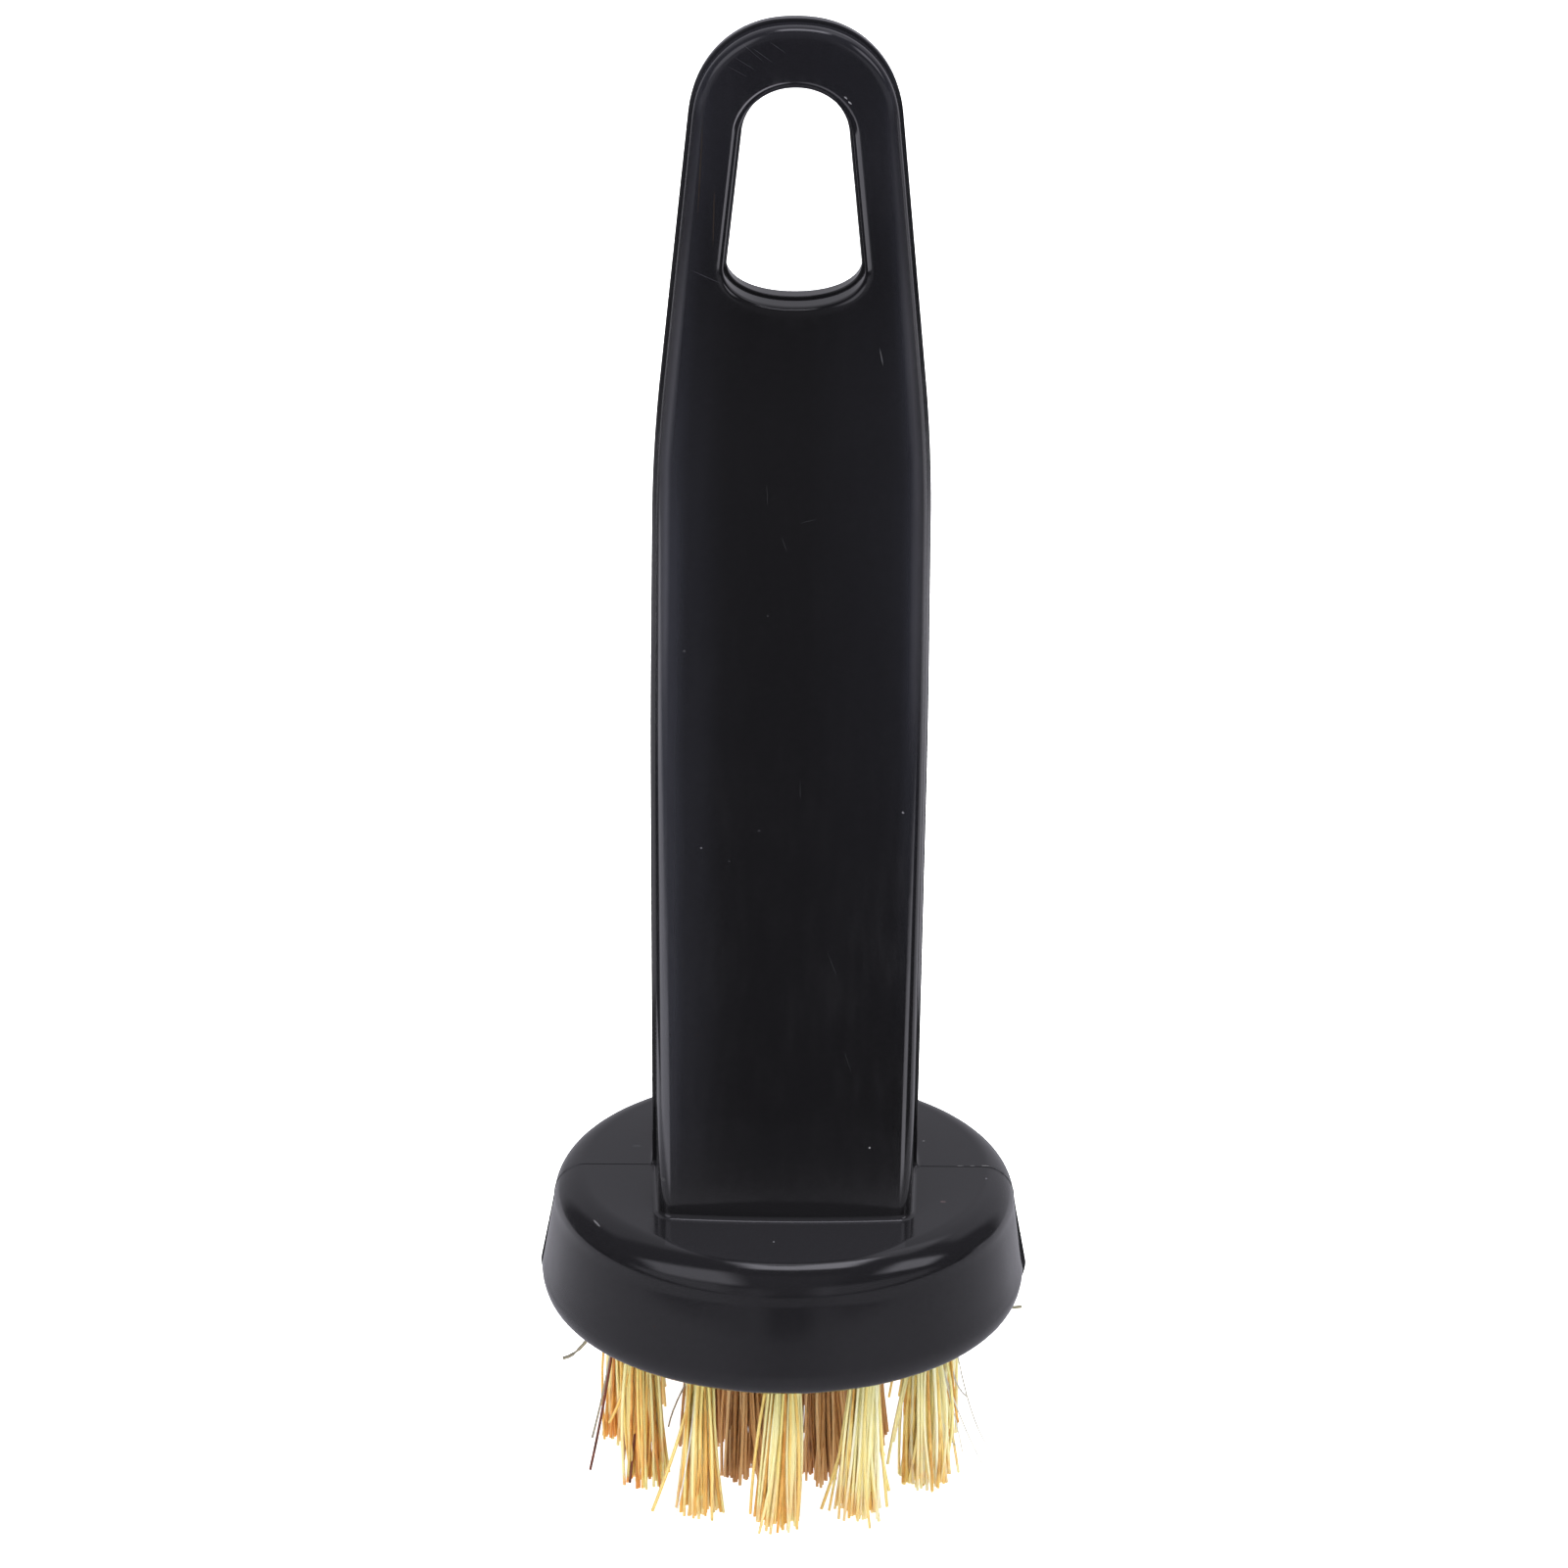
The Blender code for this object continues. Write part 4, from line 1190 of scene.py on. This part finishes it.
def riding(piece, slot_name, *nodes):
    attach(piece, "root")
    if nodes:
        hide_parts(*nodes)


def build_brush():
    plastic = plastic_material()
    for name, bm in (
        ("brush_handle", handle_mesh()),
        ("handle_fillet", foot_fillet_mesh()),
        ("brush_head", head_mesh()),
        ("parting_ridge", seam_mesh()),
    ):
        piece = object_from(name, bm, plastic)
        riding(piece, "black_plastic", *(["moulded_body"] if name == "brush_head" else []))
    looks = {name: wire_material(name, *look) for name, look in WIRE_LOOKS.items()}
    special = {tuft: look for look, tufts in TUFT_LOOKS.items() for tuft in tufts}
    for kind, look in STRAY_LOOKS.items():
        piece = object_from(f"stray_wires_{kind}", stray_mesh(kind), looks[look], WIRE_CREASE)
        riding(piece, "brass_wire")
    rng = random.Random(SEED)
    for tuft in tuft_places():
        # The inner tufts get the darker copy of the brass as painted shade
        usual = "brass_wire_bright" if tuft[0].startswith("outer") else "brass_wire_painted_shade"
        surface = looks[special.get(tuft[0], usual)]
        piece = object_from(f"wires_{tuft[0]}", tuft_mesh(tuft, rng), surface, WIRE_CREASE)
        riding(piece, "brass_wire", f"tuft_{tuft[0]}")


def dress_anchors(frame):
    steel = steel_material()
    for name, node in frame["nodes"].items():
        if name.startswith("anchor"):
            node.data.materials.clear()
            node.data.materials.append(steel)


# Stage


def staged(name, bm, surface, *unseen_by, drop=0):
    """Adds a piece of the stage, hidden from the given kinds of ray."""
    piece = object_from(name, bm, surface)
    piece.location.z = -drop
    for kind in unseen_by:
        setattr(piece, f"visible_{kind}", False)


def build_floor():
    """The pale floor, which shiny surfaces don't mirror."""
    bm = bmesh.new()
    left, right, front, back = -FLOOR_SIDE, FLOOR_SIDE, -FLOOR_FRONT, FLOOR_BACK
    corners = ((left, front), (right, front), (right, back), (left, back))
    bm.faces.new([bm.verts.new((x, y, 0)) for x, y in corners])
    staged("floor", bm, glow_material("pale_floor", FLOOR_GREY, FLOOR_ROUGHNESS, FLOOR_GLOW), "glossy")


def build_dish():
    """The shallow dish of dim light that shiny surfaces mirror instead of the floor."""
    bm = bmesh.new()
    rings = []
    for height in (0, DISH_WALL):
        ring = []
        for index in range(HEAD_SEGMENTS):
            turn = 2 * math.pi * index / HEAD_SEGMENTS
            x, y = DISH_RADIUS * math.cos(turn), DISH_RADIUS * math.sin(turn)
            ring.append(bm.verts.new((x, y, height)))
        rings.append(ring)
    skin(bm, rings, True)
    bm.faces.new(rings[0])
    glow = table_glow_material()
    staged("table_mirrored", bm, glow, "camera", "diffuse", "shadow", drop=DISH_DROP)


def build_backdrop():
    """A white shell far round everything, seen by the camera only, so that every side has a plain ground."""
    bm = bmesh.new()
    across, up = BACKDROP_SEGMENTS, BACKDROP_SEGMENTS // 2
    bmesh.ops.create_uvsphere(bm, u_segments=across, v_segments=up, radius=BACKDROP_RADIUS)
    white = glow_material("white_backdrop", 0, 1.0, BACKDROP_GLOW)
    staged("backdrop", bm, white, "diffuse", "glossy", "transmission", "shadow")


def build_world():
    """The room that the plastic mirrors: a dim even light, brighter soft panels and two low strips."""
    world = bpy.data.worlds.new("studio")
    bpy.context.scene.world = world
    world.use_nodes = True
    graph = Graph(world.node_tree)
    x, y, z = graph.split(graph.place("Generated"))
    forward = graph.math("MULTIPLY", y, -1.0)
    rise = graph.math("ARCTAN2", z, forward)
    signed = graph.math("MULTIPLY", rise, math.degrees(1))
    under = graph.math("LESS_THAN", signed, -90.0)
    turn = graph.math("ADD", signed, graph.math("MULTIPLY", under, 360.0))
    tilt = graph.math("MULTIPLY", graph.math("ARCSINE", x), math.degrees(1))
    low_back = graph.math("MULTIPLY", graph.step(turn, *LOW_BACK_TURNS), LOW_BACK_LIGHT - ROOM_LIGHT)
    light = graph.math("ADD", low_back, ROOM_LIGHT)
    for turns, tilts, soft, strength in PANELS:
        along = graph.window(turn, *turns, soft)
        mask = graph.math("MULTIPLY", along, graph.window(tilt, *tilts, soft))
        light = graph.math("ADD", light, graph.math("MULTIPLY", mask, strength))
    compass = graph.math("MULTIPLY", graph.math("ARCTAN2", x, forward), math.degrees(1))
    raised = graph.math("MULTIPLY", graph.math("ARCSINE", z), math.degrees(1))
    for directions, heights, (soft_end, soft_edge), strength in STRIPS:
        along = graph.window(compass, *directions, soft_end)
        mask = graph.math("MULTIPLY", along, graph.window(raised, *heights, soft_edge))
        light = graph.math("ADD", light, graph.math("MULTIPLY", mask, strength))
    background = world.node_tree.nodes["Background"]
    graph.give(background, "Strength", light)
    graph.give(background, "Color", (*ROOM_TINT, 1))


def build_light():
    """One soft light overhead, which shiny surfaces don't mirror."""
    data = bpy.data.lights.new("top_light", "AREA")
    data.shape = "RECTANGLE"
    data.size, data.size_y = TOP_LIGHT_SIZE
    data.energy = TOP_LIGHT_POWER
    light = bpy.data.objects.new("top_light", data)
    light.location = TOP_LIGHT_PLACE
    aim = Vector(TOP_LIGHT_TARGET) - Vector(TOP_LIGHT_PLACE)
    light.rotation_euler = aim.to_track_quat("-Z", "Y").to_euler()
    light.visible_glossy = False
    bpy.context.scene.collection.objects.link(light)


def build_camera():
    data = bpy.data.cameras.new("camera")
    data.sensor_fit = "HORIZONTAL"
    data.sensor_width = SENSOR_MM
    data.lens = FOCAL_PIXELS / FRAME_PIXELS * SENSOR_MM
    data.clip_start = CAMERA_CLIP
    camera = bpy.data.objects.new("camera", data)
    bpy.context.scene.collection.objects.link(camera)
    flat = math.cos(CAMERA_ELEVATION)
    eye = Vector((math.sin(CAMERA_YAW) * flat, -math.cos(CAMERA_YAW) * flat, math.sin(CAMERA_ELEVATION)))
    heading = CAMERA_YAW + CAMERA_PAN
    level = math.cos(CAMERA_PITCH)
    forward = Vector((-math.sin(heading) * level, math.cos(heading) * level, -math.sin(CAMERA_PITCH)))
    right = Vector((math.cos(heading), math.sin(heading), 0))
    up = right.cross(forward)
    right, up = (
        right * math.cos(CAMERA_ROLL) + up * math.sin(CAMERA_ROLL),
        up * math.cos(CAMERA_ROLL) - right * math.sin(CAMERA_ROLL),
    )
    turned = Matrix((right, up, -forward)).transposed().to_4x4()
    camera.matrix_world = Matrix.Translation(eye * CAMERA_DISTANCE + Vector((0, 0, HEAD_TOP))) @ turned
    bpy.context.scene.camera = camera


def main():
    for obj in list(bpy.data.objects):
        bpy.data.objects.remove(obj, do_unlink=True)
    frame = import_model()
    build_brush()
    dress_anchors(frame)
    build_floor()
    build_dish()
    build_backdrop()
    build_world()
    build_light()
    build_camera()
    bpy.context.scene.view_settings.view_transform = "Standard"


main()
